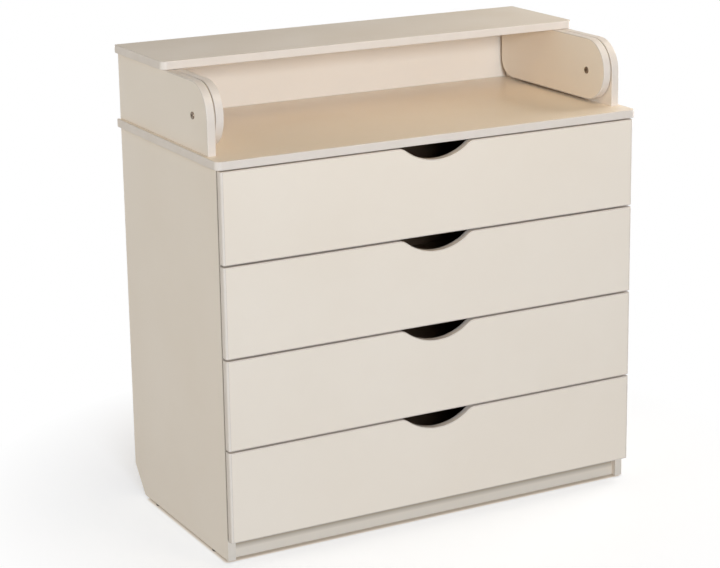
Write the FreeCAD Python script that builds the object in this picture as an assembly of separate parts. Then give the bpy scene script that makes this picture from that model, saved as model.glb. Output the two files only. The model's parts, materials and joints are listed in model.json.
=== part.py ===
import FreeCAD, Part
import math
import os

# Changing dresser: a chest of four drawers with a changing top. The lid at the back of the
# top turns forward over the front edge and becomes a flush extension of the changing surface,
# and its two cheeks become the side guards.
# Frame: millimetres, +Z up, the fronts face -Y, the origin is on the floor under the centre.

V = FreeCAD.Vector

# Boards
BOARD = 16.0                # laminated chipboard, all visible boards
THIN_BOARD = 12.0           # drawer sides and backs
SHEET = 3.0                 # hardboard back and drawer bottoms
BAND_R = 1.5                # rounding of the edge banding

# Whole object
TOP_WIDTH = 900.0           # top board and lid
CARCASS_WIDTH = 884.0       # over the side panels and over the outer cheeks
DEPTH = 458.0               # drawer fronts to the back
GLIDE_H = 4.0               # nail glides under the sides and the plinths
TOP_Z = 766.0               # changing surface
LID_RISE = 129.0            # changing surface to the lid's underside

FRONT_Y = -DEPTH / 2
BACK_Y = DEPTH / 2
BUMPER_GAP = 3.0            # drawer front to the carcass
CARCASS_Y = FRONT_Y + BOARD + BUMPER_GAP
SIDE_X = CARCASS_WIDTH / 2
INNER_X = SIDE_X - BOARD
TOP_UNDER_Z = TOP_Z - BOARD
LID_UNDER_Z = TOP_Z + LID_RISE
CORNER_R = 12.0             # front corners of the top board and the lid, seen from above
BACK_CORNER_R = 3.0

# Drawer fronts
DRAWERS = 4
FRONT_W = CARCASS_WIDTH     # its ends are flush with the sides
FRONT_H = 172.0             # the upper three fronts
LOWEST_FRONT_H = 175.5
FRONT_GAP = 3.4             # between two fronts
TOP_FRONT_GAP = 2.5         # between the upper front and the top board
FRONT_END_R = 4.0           # upright edges of a front
CUT_HALF_W = 82.0           # finger cut-out, half its width along the top edge
CUT_DEPTH = 28.0
CUT_END_R = 25.0            # rounding where the cut-out meets the top edge

# Plinth, bottom board and back
PLINTH_RECESS = 11.0
BOTTOM_UNDER_Z = 52.0
REAR_PLINTH_Y = 169.0       # rear face of the rear plinth, clear of a skirting board
SKIRTING_CUT_D = 46.0       # corner cut from the side panels for a skirting board
SKIRTING_CUT_H = 54.0
SHEET_Y = 216.0             # front face of the back sheet
GROOVE_W = 3.4
BACK_GROOVE_D = 8.0
RAIL_H = 60.0               # rear rail under the top board

# Drawer boxes
SLIDE_GAP = 13.0            # drawer box to side panel, filled by the slides
BOX_DROP = 146.5            # upper edge of a front to the underside of its box
BOX_H = 118.0
BOX_LENGTH = 400.0
BOTTOM_LIFT = 10.0          # box underside to its bottom sheet
BOX_GROOVE_D = 5.0
BOX_X = INNER_X - SLIDE_GAP
BOX_INNER_X = BOX_X - THIN_BOARD
BOX_FRONT_Y = FRONT_Y + BOARD
BOX_BACK_Y = BOX_FRONT_Y + BOX_LENGTH

# Ball bearing slides, 45 mm high, full extension in three members
SLIDE_LENGTH = 350.0
SLIDE_START = 5.0           # behind the front edge of the side panel
SLIDE_LIFT = 50.0           # box underside to the slide's middle line
STEEL = 1.2
OUTER_HALF_H = 22.5
OUTER_FLANGE = 9.5
MIDDLE_HALF_H = 17.6
MIDDLE_WEB_X = 2.4          # from the side panel
MIDDLE_FLANGE = 8.2
INNER_HALF_H = 12.8
INNER_FLANGE = 8.0
SLIDE_SCREW_PLACES = (37.0, 165.0, 293.0)
SCREW_HEAD_R = 3.4
SCREW_HEAD_H = 0.9
SCREW_R = 1.6
SCREW_LENGTH = 9.0
SCREW_FIT = 0.05

# Cheeks, lid and pivot
CHEEK_SETBACK = 32.0        # front edge of the outer cheeks behind the carcass edge
CHEEK_FRONT_R = 62.0
CHEEK_TOP_GAP = 0.5         # outer cheeks and upper back board to the lid
CHEEK_SIDE_GAP = 2.0        # outer cheek to inner cheek
PIVOT_SETBACK = 94.0        # pivot line behind the carcass edge
PIVOT_Y = CARCASS_Y + PIVOT_SETBACK
PIVOT_Z = TOP_Z + LID_RISE / 2
LID_FRONT_GAP = 1.0         # lid to top board when it is folded out
LID_FRONT_Y = 2 * PIVOT_Y - FRONT_Y + LID_FRONT_GAP
LID_BACK_Y = BACK_Y - 2.0
LID_CHEEK_RELIEF = 0.6      # free top edge of an inner cheek below the lid's underside
LID_CHEEK_GAP = 6.6         # inner cheek to the top board
LID_CHEEK_BACK_R = 40.0
LID_CHEEK_BACK_GAP = 11.0   # inner cheek to the upper back board
LID_CHEEK_OUT_X = INNER_X - CHEEK_SIDE_GAP
LID_CHEEK_IN_X = LID_CHEEK_OUT_X - BOARD
UPPER_BACK_Y = BACK_Y - BOARD

SLEEVE_R = 5.0              # connecting sleeve that the lid turns on
SLEEVE_BORE_FIT = 0.05
SLEEVE_HEAD_R = 7.0
SLEEVE_HEAD_H = 1.6
BOLT_R = 3.0
BOLT_FIT = 0.05
KEY_R = 2.2                 # key socket in both heads
KEY_DEPTH = 2.6
HEAD_ROUND = 0.7
PIVOT_PLAY = 0.3
WASHER_R = 9.0
WASHER_T = 1.4

# Fixings
DOWEL_R = 4.0
DOWEL_LENGTH = 34.0
DOWEL_FIT = 0.05
CAM_R = 7.5
CAM_DEPTH = 12.0
CAM_FIT = 0.1
CAM_INSET = 34.0            # cam's middle to the joint
CAM_BOLT_R = 3.4
CAM_BOLT_IN_PANEL = 10.0
THIN_CAM_DEPTH = 9.0
GLIDE_R = 8.0
GLIDE_PLACES = (70.5, 336.0)    # behind the front edge of the side panel
GLIDE_CORE = 3.0
NAIL_R = 1.2
NAIL_LENGTH = 14.0

os.makedirs("parts", exist_ok=True)


def save(name, shape):
    shape.exportStep("parts/" + name + ".step")


def block(x0, x1, y0, y1, z0, z1):
    """A box between two corners."""
    return Part.makeBox(x1 - x0, y1 - y0, z1 - z0, V(x0, y0, z0))


def mirrored(shape):
    """The same piece on the other side of the dresser."""
    return shape.mirror(V(0, 0, 0), V(1, 0, 0))


def round_edges(shape, radius, wanted):
    """Round the edges for which wanted(edge) is true."""
    edges = [edge for edge in shape.Edges if wanted(edge)]
    return shape.makeFillet(radius, edges)


def lies_at(edge, axis, value):
    """True where a whole edge lies in the plane axis = value."""
    box = edge.BoundBox
    low = getattr(box, axis + "Min")
    high = getattr(box, axis + "Max")
    return abs(low - value) < 0.01 and abs(high - value) < 0.01


def upright(edge):
    box = edge.BoundBox
    return box.XLength < 0.01 and box.YLength < 0.01


def rod(x, y, z, axis, radius, length):
    return Part.makeCylinder(radius, length, V(x, y, z), axis)


def compound(pieces):
    return Part.makeCompound(pieces)


def arc(start, middle, end):
    return Part.Arc(start, middle, end).toShape()


def line(start, end):
    return Part.LineSegment(start, end).toShape()


# Fixings are collected here while the boards are bored for them
dowels = []
cams = []
cam_bolts = []


def dowel_joint(first, second, point, axis):
    """A wooden dowel across the joint at a point, bored into both boards."""
    start = point - axis * (DOWEL_LENGTH / 3)
    bore_r = DOWEL_R + DOWEL_FIT
    bore = Part.makeCylinder(bore_r, DOWEL_LENGTH + 2, start - axis, axis)
    dowels.append(Part.makeCylinder(DOWEL_R, DOWEL_LENGTH, start, axis))
    return first.cut(bore), second.cut(bore)


def cam_joint(panel, board, point, into_board, cam_face, cam_axis, depth):
    """A cam in the board's face that pulls the bolt standing in the panel."""
    bolt_start = point - into_board * CAM_BOLT_IN_PANEL
    bolt_length = CAM_BOLT_IN_PANEL + CAM_INSET - CAM_R
    bolt = Part.makeCylinder(CAM_BOLT_R, bolt_length, bolt_start, into_board)
    bore_start = bolt_start - into_board
    bolt_bore = Part.makeCylinder(CAM_BOLT_R + CAM_FIT, bolt_length + 1, bore_start, into_board)
    cam_top = cam_face + into_board * CAM_INSET
    cam = Part.makeCylinder(CAM_R, depth, cam_top, cam_axis)
    slot = Part.makeBox(9.0, 1.6, 1.5, V(-4.5, -0.8, 0))
    cross = slot.fuse(Part.makeBox(1.6, 9.0, 1.5, V(-0.8, -4.5, 0)))
    cross.Placement = FreeCAD.Placement(cam_top, FreeCAD.Rotation(V(0, 0, 1), cam_axis))
    cam = cam.cut(cross)
    pocket = Part.makeCylinder(CAM_R + CAM_FIT, depth + 1 + CAM_FIT, cam_top - cam_axis, cam_axis)
    cams.append(cam)
    cam_bolts.append(bolt.cut(pocket))
    return panel.cut(bolt_bore), board.cut(bolt_bore).cut(pocket)


# ---- Side panels, with the corner cut for a skirting board and the groove for the back ----

def side_panel():
    y0 = CARCASS_Y
    profile = [
        V(-SIDE_X, y0, GLIDE_H),
        V(-SIDE_X, BACK_Y - SKIRTING_CUT_D, GLIDE_H),
        V(-SIDE_X, BACK_Y, GLIDE_H + SKIRTING_CUT_H),
        V(-SIDE_X, BACK_Y, TOP_UNDER_Z),
        V(-SIDE_X, y0, TOP_UNDER_Z),
    ]
    face = Part.Face(Part.makePolygon(profile + profile[:1]))
    panel = face.extrude(V(BOARD, 0, 0))
    panel = round_edges(panel, BAND_R, lambda edge: lies_at(edge, "Y", y0) and upright(edge))
    groove_x = -INNER_X - BACK_GROOVE_D
    groove = block(groove_x, 0, SHEET_Y - 0.2, SHEET_Y + GROOVE_W - 0.2, BOTTOM_UNDER_Z, TOP_UNDER_Z)
    return panel.cut(groove)


# ---- Top board and lid board: rounded corners and softened edges ----

def rounded_board(y0, y1, z0):
    half = TOP_WIDTH / 2
    board = block(-half, half, y0, y1, z0, z0 + BOARD)
    board = round_edges(board, CORNER_R, lambda edge: upright(edge) and lies_at(edge, "Y", y0))
    board = round_edges(board, BACK_CORNER_R, lambda edge: upright(edge) and lies_at(edge, "Y", y1))
    flat = lambda edge: lies_at(edge, "Z", z0) or lies_at(edge, "Z", z0 + BOARD)
    return round_edges(board, BAND_R, flat)


# ---- Drawer front with its finger cut-out ----

def drawer_front(z0, top):
    half = FRONT_W / 2
    y = FRONT_Y
    both_r = (CUT_HALF_W ** 2 + CUT_DEPTH ** 2) / (2 * CUT_DEPTH)
    main_r = both_r - CUT_END_R
    share = main_r / both_r
    join_x = CUT_HALF_W * share
    main_z = top - CUT_DEPTH + main_r
    end_z = top - CUT_END_R
    join_z = main_z + (end_z - main_z) * share
    turn = math.atan2(join_x - CUT_HALF_W, join_z - end_z) / 2
    mid_x = CUT_HALF_W + CUT_END_R * math.sin(turn)
    mid_z = end_z + CUT_END_R * math.cos(turn)
    right = [V(CUT_HALF_W, y, top), V(mid_x, y, mid_z), V(join_x, y, join_z)]
    left = [V(-point.x, y, point.z) for point in right]
    low = V(0, y, top - CUT_DEPTH)
    corners = [V(-half, y, top), V(-half, y, z0), V(half, y, z0), V(half, y, top)]
    edges = [
        line(left[0], corners[0]),
        line(corners[0], corners[1]),
        line(corners[1], corners[2]),
        line(corners[2], corners[3]),
        line(corners[3], right[0]),
        arc(right[0], right[1], right[2]),
        arc(right[2], low, left[2]),
        arc(left[2], left[1], left[0]),
    ]
    front = Part.Face(Part.Wire(edges)).extrude(V(0, BOARD, 0))
    front = round_edges(front, FRONT_END_R, lambda edge: upright(edge) and lies_at(edge, "Y", y))
    face = [item for item in front.Faces if lies_at_face(item, y)][0]
    rim = face.Edges
    front = front.makeFillet(BAND_R, rim)
    groove_z = top - BOX_DROP + BOTTOM_LIFT - 0.2
    groove_x = BOX_INNER_X + BOX_GROOVE_D
    back = y + BOARD
    groove_top = groove_z + GROOVE_W
    return front.cut(block(-groove_x, groove_x, back - BOX_GROOVE_D - 1, back + 1, groove_z, groove_top))


def lies_at_face(face, y):
    box = face.BoundBox
    return abs(box.YMin - y) < 0.01 and abs(box.YMax - y) < 0.01


# ---- Drawer boxes ----

def drawer_side(z0):
    side = block(-BOX_X, -BOX_INNER_X, BOX_FRONT_Y, BOX_BACK_Y, z0, z0 + BOX_H)
    along_top = lambda edge: lies_at(edge, "Z", z0 + BOX_H) and edge.BoundBox.YLength > 1
    side = round_edges(side, BAND_R, along_top)
    groove_z = z0 + BOTTOM_LIFT - 0.2
    groove_x = -BOX_INNER_X - BOX_GROOVE_D
    return side.cut(block(groove_x, 0, BOX_FRONT_Y - 1, BOX_BACK_Y + 1, groove_z, groove_z + GROOVE_W))


def drawer_back(z0):
    z_low = z0 + BOTTOM_LIFT + SHEET
    back = block(-BOX_INNER_X, BOX_INNER_X, BOX_BACK_Y - THIN_BOARD, BOX_BACK_Y, z_low, z0 + BOX_H)
    along_top = lambda edge: lies_at(edge, "Z", z0 + BOX_H) and edge.BoundBox.XLength > 1
    return round_edges(back, BAND_R, along_top)


def drawer_bottom(z0):
    half = BOX_INNER_X + BOX_GROOVE_D - 0.3
    low = z0 + BOTTOM_LIFT
    return block(-half, half, BOX_FRONT_Y - BOX_GROOVE_D, BOX_BACK_Y - 1, low, low + SHEET)


# ---- Slide members: pressed channels, drawn for the left side and mirrored ----

def channel(web_x, out, half_h, flange, z, y0):
    """A channel along Y. out is +1 where its flanges point away from the side panel."""
    far_x = web_x + out * STEEL
    tip_x = web_x + out * flange
    points = [
        (web_x, -half_h), (tip_x, -half_h), (tip_x, -half_h + STEEL), (far_x, -half_h + STEEL),
        (far_x, half_h - STEEL), (tip_x, half_h - STEEL), (tip_x, half_h), (web_x, half_h),
    ]
    corners = [V(x, y0, z + dz) for x, dz in points]
    face = Part.Face(Part.makePolygon(corners + corners[:1]))
    return face.extrude(V(0, SLIDE_LENGTH, 0))


def slide_screw(x, y, z, side):
    """A pan head screw through a web into the board. side is the way that it points."""
    axis = V(side, 0, 0)
    head = rod(x, y, z, axis, SCREW_HEAD_R, SCREW_HEAD_H)
    shank = rod(x + side * SCREW_HEAD_H, y, z, axis, SCREW_R, SCREW_LENGTH)
    return head.fuse(shank)


def slide_set(z):
    """The left slide at one drawer: its three members and the places of their screws."""
    y0 = CARCASS_Y + SLIDE_START
    wall = -INNER_X
    outer = channel(wall, 1, OUTER_HALF_H, OUTER_FLANGE, z, y0)
    middle = channel(wall + MIDDLE_WEB_X, 1, MIDDLE_HALF_H, MIDDLE_FLANGE, z, y0)
    inner = channel(-BOX_X, -1, INNER_HALF_H, INNER_FLANGE, z, y0)
    places = [y0 + place for place in SLIDE_SCREW_PLACES]
    return outer, middle, inner, places


def screw_bores(shape, x_from, x_to, places, z, radius):
    for y in places:
        shape = shape.cut(rod(x_from, y, z, V(1, 0, 0), radius, x_to - x_from))
    return shape


# ---- Carcass ----

left_side = side_panel()
right_side = mirrored(left_side)

rear_plinth_front = REAR_PLINTH_Y - BOARD
plinth_front_y = CARCASS_Y + PLINTH_RECESS
plinth_front = block(-INNER_X, INNER_X, plinth_front_y, plinth_front_y + BOARD, GLIDE_H, BOTTOM_UNDER_Z)
plinth_rear = block(-INNER_X, INNER_X, rear_plinth_front, REAR_PLINTH_Y, GLIDE_H, BOTTOM_UNDER_Z)
bottom_top_z = BOTTOM_UNDER_Z + BOARD
bottom_board = block(-INNER_X, INNER_X, CARCASS_Y, SHEET_Y - 0.2, BOTTOM_UNDER_Z, bottom_top_z)
rail_y = SHEET_Y - 0.2 - BOARD
rear_rail = block(-INNER_X, INNER_X, rail_y, SHEET_Y - 0.2, TOP_UNDER_Z - RAIL_H, TOP_UNDER_Z)
sheet_half = INNER_X + BACK_GROOVE_D - 0.5
back_sheet = block(-sheet_half, sheet_half, SHEET_Y, SHEET_Y + SHEET, BOTTOM_UNDER_Z, TOP_UNDER_Z - 0.3)
top_board = rounded_board(FRONT_Y, BACK_Y, TOP_UNDER_Z)

# Dowels and cams: the bottom board and the rear rail into the sides, the sides into the top
for sign in (-1, 1):
    side = left_side if sign < 0 else right_side
    inward = V(-sign, 0, 0)
    joint_x = sign * INNER_X
    bottom_mid_z = BOTTOM_UNDER_Z + BOARD / 2
    for y in (CARCASS_Y + 60, SHEET_Y - 60):
        point = V(joint_x, y, bottom_mid_z)
        under = V(joint_x, y, BOTTOM_UNDER_Z)
        side, bottom_board = cam_joint(side, bottom_board, point, inward, under, V(0, 0, 1), CAM_DEPTH)
    for y in (CARCASS_Y + 110, SHEET_Y - 110):
        side, bottom_board = dowel_joint(side, bottom_board, V(joint_x, y, bottom_mid_z), inward)
    rail_point = V(joint_x, rail_y + BOARD / 2, TOP_UNDER_Z - 20)
    rail_face = V(joint_x, rail_y, TOP_UNDER_Z - 20)
    side, rear_rail = cam_joint(side, rear_rail, rail_point, inward, rail_face, V(0, 1, 0), CAM_DEPTH)
    rail_low = V(joint_x, rail_y + BOARD / 2, TOP_UNDER_Z - 45)
    side, rear_rail = dowel_joint(side, rear_rail, rail_low, inward)
    plinth_mid_z = (GLIDE_H + BOTTOM_UNDER_Z) / 2
    front_mid = V(joint_x, plinth_front_y + BOARD / 2, plinth_mid_z)
    side, plinth_front = dowel_joint(side, plinth_front, front_mid, inward)
    rear_mid = V(joint_x, rear_plinth_front + BOARD / 2, plinth_mid_z)
    side, plinth_rear = dowel_joint(side, plinth_rear, rear_mid, inward)
    side_mid_x = sign * (SIDE_X - BOARD / 2)
    side_in_x = sign * INNER_X
    for y in (CARCASS_Y + 60, SHEET_Y - 60):
        point = V(side_mid_x, y, TOP_UNDER_Z)
        face = V(side_in_x, y, TOP_UNDER_Z)
        top_board, side = cam_joint(top_board, side, point, V(0, 0, -1), face, V(sign, 0, 0), CAM_DEPTH)
    for y in (CARCASS_Y + 120, SHEET_Y - 120):
        top_board, side = dowel_joint(top_board, side, V(side_mid_x, y, TOP_UNDER_Z), V(0, 0, -1))
    if sign < 0:
        left_side = side
    else:
        right_side = side

# Nail glides under the side panels
glides = []
for sign in (-1, 1):
    for place in GLIDE_PLACES:
        x = sign * (SIDE_X - BOARD / 2)
        y = CARCASS_Y + place
        pad = rod(x, y, 0, V(0, 0, 1), GLIDE_R, GLIDE_H)
        pad = pad.makeFillet(1.2, [edge for edge in pad.Edges if lies_at(edge, "Z", 0)])
        nail = rod(x, y, GLIDE_CORE, V(0, 0, 1), NAIL_R, NAIL_LENGTH)
        glides.append(pad.fuse(nail).removeSplitter())
        bore = rod(x, y, GLIDE_H - 1, V(0, 0, 1), NAIL_R + SCREW_FIT, NAIL_LENGTH + 1)
        left_side = left_side.cut(bore)
        right_side = right_side.cut(bore)


# ---- Upper box: outer cheeks and upper back board, standing on the top board ----

def outer_cheek():
    y0 = CARCASS_Y + CHEEK_SETBACK
    top = LID_UNDER_Z - CHEEK_TOP_GAP
    r = CHEEK_FRONT_R
    x = -SIDE_X
    diagonal = r * (1 - math.sqrt(0.5))
    edges = [
        line(V(x, y0, TOP_Z), V(x, BACK_Y, TOP_Z)),
        line(V(x, BACK_Y, TOP_Z), V(x, BACK_Y, top)),
        line(V(x, BACK_Y, top), V(x, y0 + r, top)),
        arc(V(x, y0 + r, top), V(x, y0 + diagonal, top - diagonal), V(x, y0, top - r)),
        line(V(x, y0, top - r), V(x, y0, TOP_Z)),
    ]
    cheek = Part.Face(Part.Wire(edges)).extrude(V(BOARD, 0, 0))
    banded = lambda edge: (lies_at(edge, "X", -SIDE_X) or lies_at(edge, "X", -INNER_X)) and shows(edge)
    return round_edges(cheek, BAND_R, banded)


def shows(edge):
    """True on the free edges of a cheek: not along its foot nor up its back."""
    return not lies_at(edge, "Z", TOP_Z) and not lies_at(edge, "Y", BACK_Y)


outer_left = outer_cheek()
outer_right = mirrored(outer_left)
back_top_z = LID_UNDER_Z - CHEEK_TOP_GAP
upper_back = block(-INNER_X, INNER_X, UPPER_BACK_Y, BACK_Y, TOP_Z, back_top_z)
upper_front_edge = lambda edge: lies_at(edge, "Z", back_top_z) and lies_at(edge, "Y", UPPER_BACK_Y)
upper_back = round_edges(upper_back, BAND_R, upper_front_edge)

for sign in (-1, 1):
    cheek = outer_left if sign < 0 else outer_right
    cheek_mid_x = sign * (SIDE_X - BOARD / 2)
    for y in (CARCASS_Y + 150, CARCASS_Y + 250, CARCASS_Y + 350):
        cheek, top_board = dowel_joint(cheek, top_board, V(cheek_mid_x, y, TOP_Z), V(0, 0, 1))
    back_mid = V(sign * INNER_X, UPPER_BACK_Y + BOARD / 2, TOP_Z + LID_RISE / 2)
    cheek, upper_back = dowel_joint(cheek, upper_back, back_mid, V(-sign, 0, 0))
    if sign < 0:
        outer_left = cheek
    else:
        outer_right = cheek
for x in (-300, -100, 100, 300):
    foot = V(x, UPPER_BACK_Y + BOARD / 2, TOP_Z)
    upper_back, top_board = dowel_joint(upper_back, top_board, foot, V(0, 0, 1))


# ---- Lid with its two inner cheeks ----

def lid_cheek():
    low = TOP_Z + LID_CHEEK_GAP
    high = LID_UNDER_Z - LID_CHEEK_RELIEF
    r = (high - low) / 2
    back = UPPER_BACK_Y - LID_CHEEK_BACK_GAP
    corner = LID_CHEEK_BACK_R
    diagonal = corner * (1 - math.sqrt(0.5))
    x = -LID_CHEEK_OUT_X
    edges = [
        line(V(x, PIVOT_Y, low), V(x, back - corner, low)),
        arc(V(x, back - corner, low), V(x, back - diagonal, low + diagonal), V(x, back, low + corner)),
        line(V(x, back, low + corner), V(x, back, high)),
        line(V(x, back, high), V(x, PIVOT_Y, high)),
        arc(V(x, PIVOT_Y, high), V(x, PIVOT_Y - r, low + r), V(x, PIVOT_Y, low)),
    ]
    cheek = Part.Face(Part.Wire(edges)).extrude(V(BOARD, 0, 0))
    rims = lambda edge: lies_at(edge, "X", -LID_CHEEK_OUT_X) or lies_at(edge, "X", -LID_CHEEK_IN_X)
    cheek = round_edges(cheek, BAND_R, rims)
    seat = block(-LID_CHEEK_OUT_X, -LID_CHEEK_IN_X, LID_FRONT_Y + 4, back - 2, high - BAND_R, LID_UNDER_Z)
    cheek = cheek.fuse(seat).removeSplitter()
    bore = rod(-SIDE_X, PIVOT_Y, PIVOT_Z, V(1, 0, 0), SLEEVE_R + SLEEVE_BORE_FIT, 4 * BOARD)
    return cheek.cut(bore)


lid_left = lid_cheek()
lid_right = mirrored(lid_left)
lid_board = rounded_board(LID_FRONT_Y, LID_BACK_Y, LID_UNDER_Z)

carcass_dowels = dowels
dowels = []
for sign in (-1, 1):
    cheek = lid_left if sign < 0 else lid_right
    cheek_mid_x = sign * (LID_CHEEK_OUT_X - BOARD / 2)
    for y in (LID_FRONT_Y + 30, LID_FRONT_Y + 105, LID_FRONT_Y + 180):
        cheek, lid_board = dowel_joint(cheek, lid_board, V(cheek_mid_x, y, LID_UNDER_Z), V(0, 0, -1))
    if sign < 0:
        lid_left = cheek
    else:
        lid_right = cheek
lid_dowels = dowels


# ---- Pivots: sleeve from outside, bolt from inside, washer between the cheeks ----

def pivot():
    out_x = -SIDE_X
    end_x = -LID_CHEEK_IN_X + PIVOT_PLAY
    head = rod(out_x - SLEEVE_HEAD_H, PIVOT_Y, PIVOT_Z, V(1, 0, 0), SLEEVE_HEAD_R, SLEEVE_HEAD_H)
    rim = [edge for edge in head.Edges if lies_at(edge, "X", out_x - SLEEVE_HEAD_H)]
    head = head.makeFillet(HEAD_ROUND, rim)
    tube = rod(out_x, PIVOT_Y, PIVOT_Z, V(1, 0, 0), SLEEVE_R, end_x - out_x)
    socket = rod(out_x - SLEEVE_HEAD_H, PIVOT_Y, PIVOT_Z, V(1, 0, 0), KEY_R, KEY_DEPTH)
    inside = rod(out_x + 5, PIVOT_Y, PIVOT_Z, V(1, 0, 0), BOLT_R + BOLT_FIT, end_x - out_x)
    sleeve = head.fuse(tube).removeSplitter().cut(inside).cut(socket)
    bolt_out_x = end_x + SLEEVE_HEAD_H
    bolt_head = rod(end_x, PIVOT_Y, PIVOT_Z, V(1, 0, 0), SLEEVE_HEAD_R, SLEEVE_HEAD_H)
    bolt_rim = [edge for edge in bolt_head.Edges if lies_at(edge, "X", bolt_out_x)]
    bolt_head = bolt_head.makeFillet(HEAD_ROUND, bolt_rim)
    shank = rod(out_x + 10, PIVOT_Y, PIVOT_Z, V(1, 0, 0), BOLT_R, end_x - out_x - 10)
    bolt_socket = rod(bolt_out_x - KEY_DEPTH, PIVOT_Y, PIVOT_Z, V(1, 0, 0), KEY_R, KEY_DEPTH)
    bolt = bolt_head.fuse(shank).removeSplitter().cut(bolt_socket)
    washer = rod(-INNER_X + PIVOT_PLAY, PIVOT_Y, PIVOT_Z, V(1, 0, 0), WASHER_R, WASHER_T)
    washer = washer.cut(rod(-INNER_X, PIVOT_Y, PIVOT_Z, V(1, 0, 0), SLEEVE_R + 0.1, WASHER_T + 1))
    return sleeve, bolt, washer


sleeve, bolt, washer = pivot()
sleeve_bore = rod(-SIDE_X - 1, PIVOT_Y, PIVOT_Z, V(1, 0, 0), SLEEVE_R, BOARD + 2)
outer_left = outer_left.cut(sleeve_bore)
outer_right = outer_right.cut(mirrored(sleeve_bore))

# ---- Drawers, numbered from the top one down ----

cabinet_rails = []
cabinet_screws = []
for number in range(1, DRAWERS + 1):
    front_top = TOP_UNDER_Z - TOP_FRONT_GAP - (number - 1) * (FRONT_H + FRONT_GAP)
    front_z = front_top - (LOWEST_FRONT_H if number == DRAWERS else FRONT_H)
    box_z = front_top - BOX_DROP
    slide_z = box_z + SLIDE_LIFT
    outer, middle, inner, places = slide_set(slide_z)

    # Cabinet member and its screws into the side panel
    web_x = -INNER_X + STEEL
    outer = screw_bores(outer, -SIDE_X, -INNER_X + 2 * STEEL, places, slide_z, SCREW_R + SCREW_FIT)
    wall_screws = [slide_screw(web_x + SCREW_HEAD_H, y, slide_z, -1) for y in places]
    left_side = screw_bores(left_side, web_x - SCREW_LENGTH - 1, 0, places, slide_z, SCREW_R + SCREW_FIT)
    mirror_from = INNER_X - STEEL
    mirror_to = mirror_from + SCREW_LENGTH + 1
    right_side = screw_bores(right_side, mirror_from, mirror_to, places, slide_z, SCREW_R + SCREW_FIT)
    cabinet_rails += [outer, mirrored(outer)]
    for screw in wall_screws:
        cabinet_screws += [screw, mirrored(screw)]

    # Drawer member and its screws into the drawer side
    box_web_x = -BOX_X - STEEL
    inner = screw_bores(inner, -BOX_X - 2 * STEEL, -BOX_X + 1, places, slide_z, SCREW_R + SCREW_FIT)
    side_board = drawer_side(box_z)
    bore_end = box_web_x + SCREW_LENGTH + 1
    side_board = screw_bores(side_board, -BOX_X - 1, bore_end, places, slide_z, SCREW_R + SCREW_FIT)
    box_screws = [slide_screw(box_web_x - SCREW_HEAD_H, y, slide_z, 1) for y in places]

    # Cams that pull the front onto the drawer sides
    front = drawer_front(front_z, front_top)
    cams_before = len(cams)
    bolts_before = len(cam_bolts)
    side_mid_x = -BOX_X + THIN_BOARD / 2
    for z in (box_z + 32, box_z + 86):
        point = V(side_mid_x, BOX_FRONT_Y, z)
        face = V(-BOX_INNER_X, BOX_FRONT_Y, z)
        rearward = V(0, 1, 0)
        outward = V(-1, 0, 0)
        front, side_board = cam_joint(front, side_board, point, rearward, face, outward, THIN_CAM_DEPTH)
        right_start = V(-side_mid_x, BOX_FRONT_Y + 1, z)
        bore_length = CAM_BOLT_IN_PANEL + 1
        right_bore = Part.makeCylinder(CAM_BOLT_R + CAM_FIT, bore_length, right_start, V(0, -1, 0))
        front = front.cut(right_bore)
    fixings = cams[cams_before:] + cam_bolts[bolts_before:]
    del cams[cams_before:]
    del cam_bolts[bolts_before:]
    fixings += [mirrored(piece) for piece in fixings]

    name = "drawer_%d_" % number
    save(name + "front", front)
    save(name + "side_left", side_board)
    save(name + "side_right", mirrored(side_board))
    save(name + "back", drawer_back(box_z))
    save(name + "bottom", drawer_bottom(box_z))
    save(name + "rails", compound([inner, mirrored(inner)]))
    save(name + "screws", compound(box_screws + [mirrored(screw) for screw in box_screws]))
    save(name + "cams", compound(fixings))
    save("slide_%d_middle" % number, compound([middle, mirrored(middle)]))

save("left_side", left_side)
save("right_side", right_side)
save("top_board", top_board)
save("bottom_board", bottom_board)
save("plinth_front", plinth_front)
save("plinth_rear", plinth_rear)
save("rear_rail", rear_rail)
save("back_sheet", back_sheet)
save("outer_cheek_left", outer_left)
save("outer_cheek_right", outer_right)
save("upper_back_board", upper_back)
save("glides", compound(glides))
save("cabinet_rails", compound(cabinet_rails))
save("cabinet_rail_screws", compound(cabinet_screws))
save("carcass_cams", compound(cams + cam_bolts))
save("carcass_dowels", compound(carcass_dowels))
save("lid_board", lid_board)
save("lid_cheek_left", lid_left)
save("lid_cheek_right", lid_right)
save("lid_dowels", compound(lid_dowels))
save("pivot_sleeves", compound([sleeve, mirrored(sleeve)]))
save("pivot_bolts", compound([bolt, mirrored(bolt)]))
save("pivot_washers", compound([washer, mirrored(washer)]))
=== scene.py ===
import json
import math
import bmesh
import bpy
from mathutils import Matrix, Vector


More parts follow.
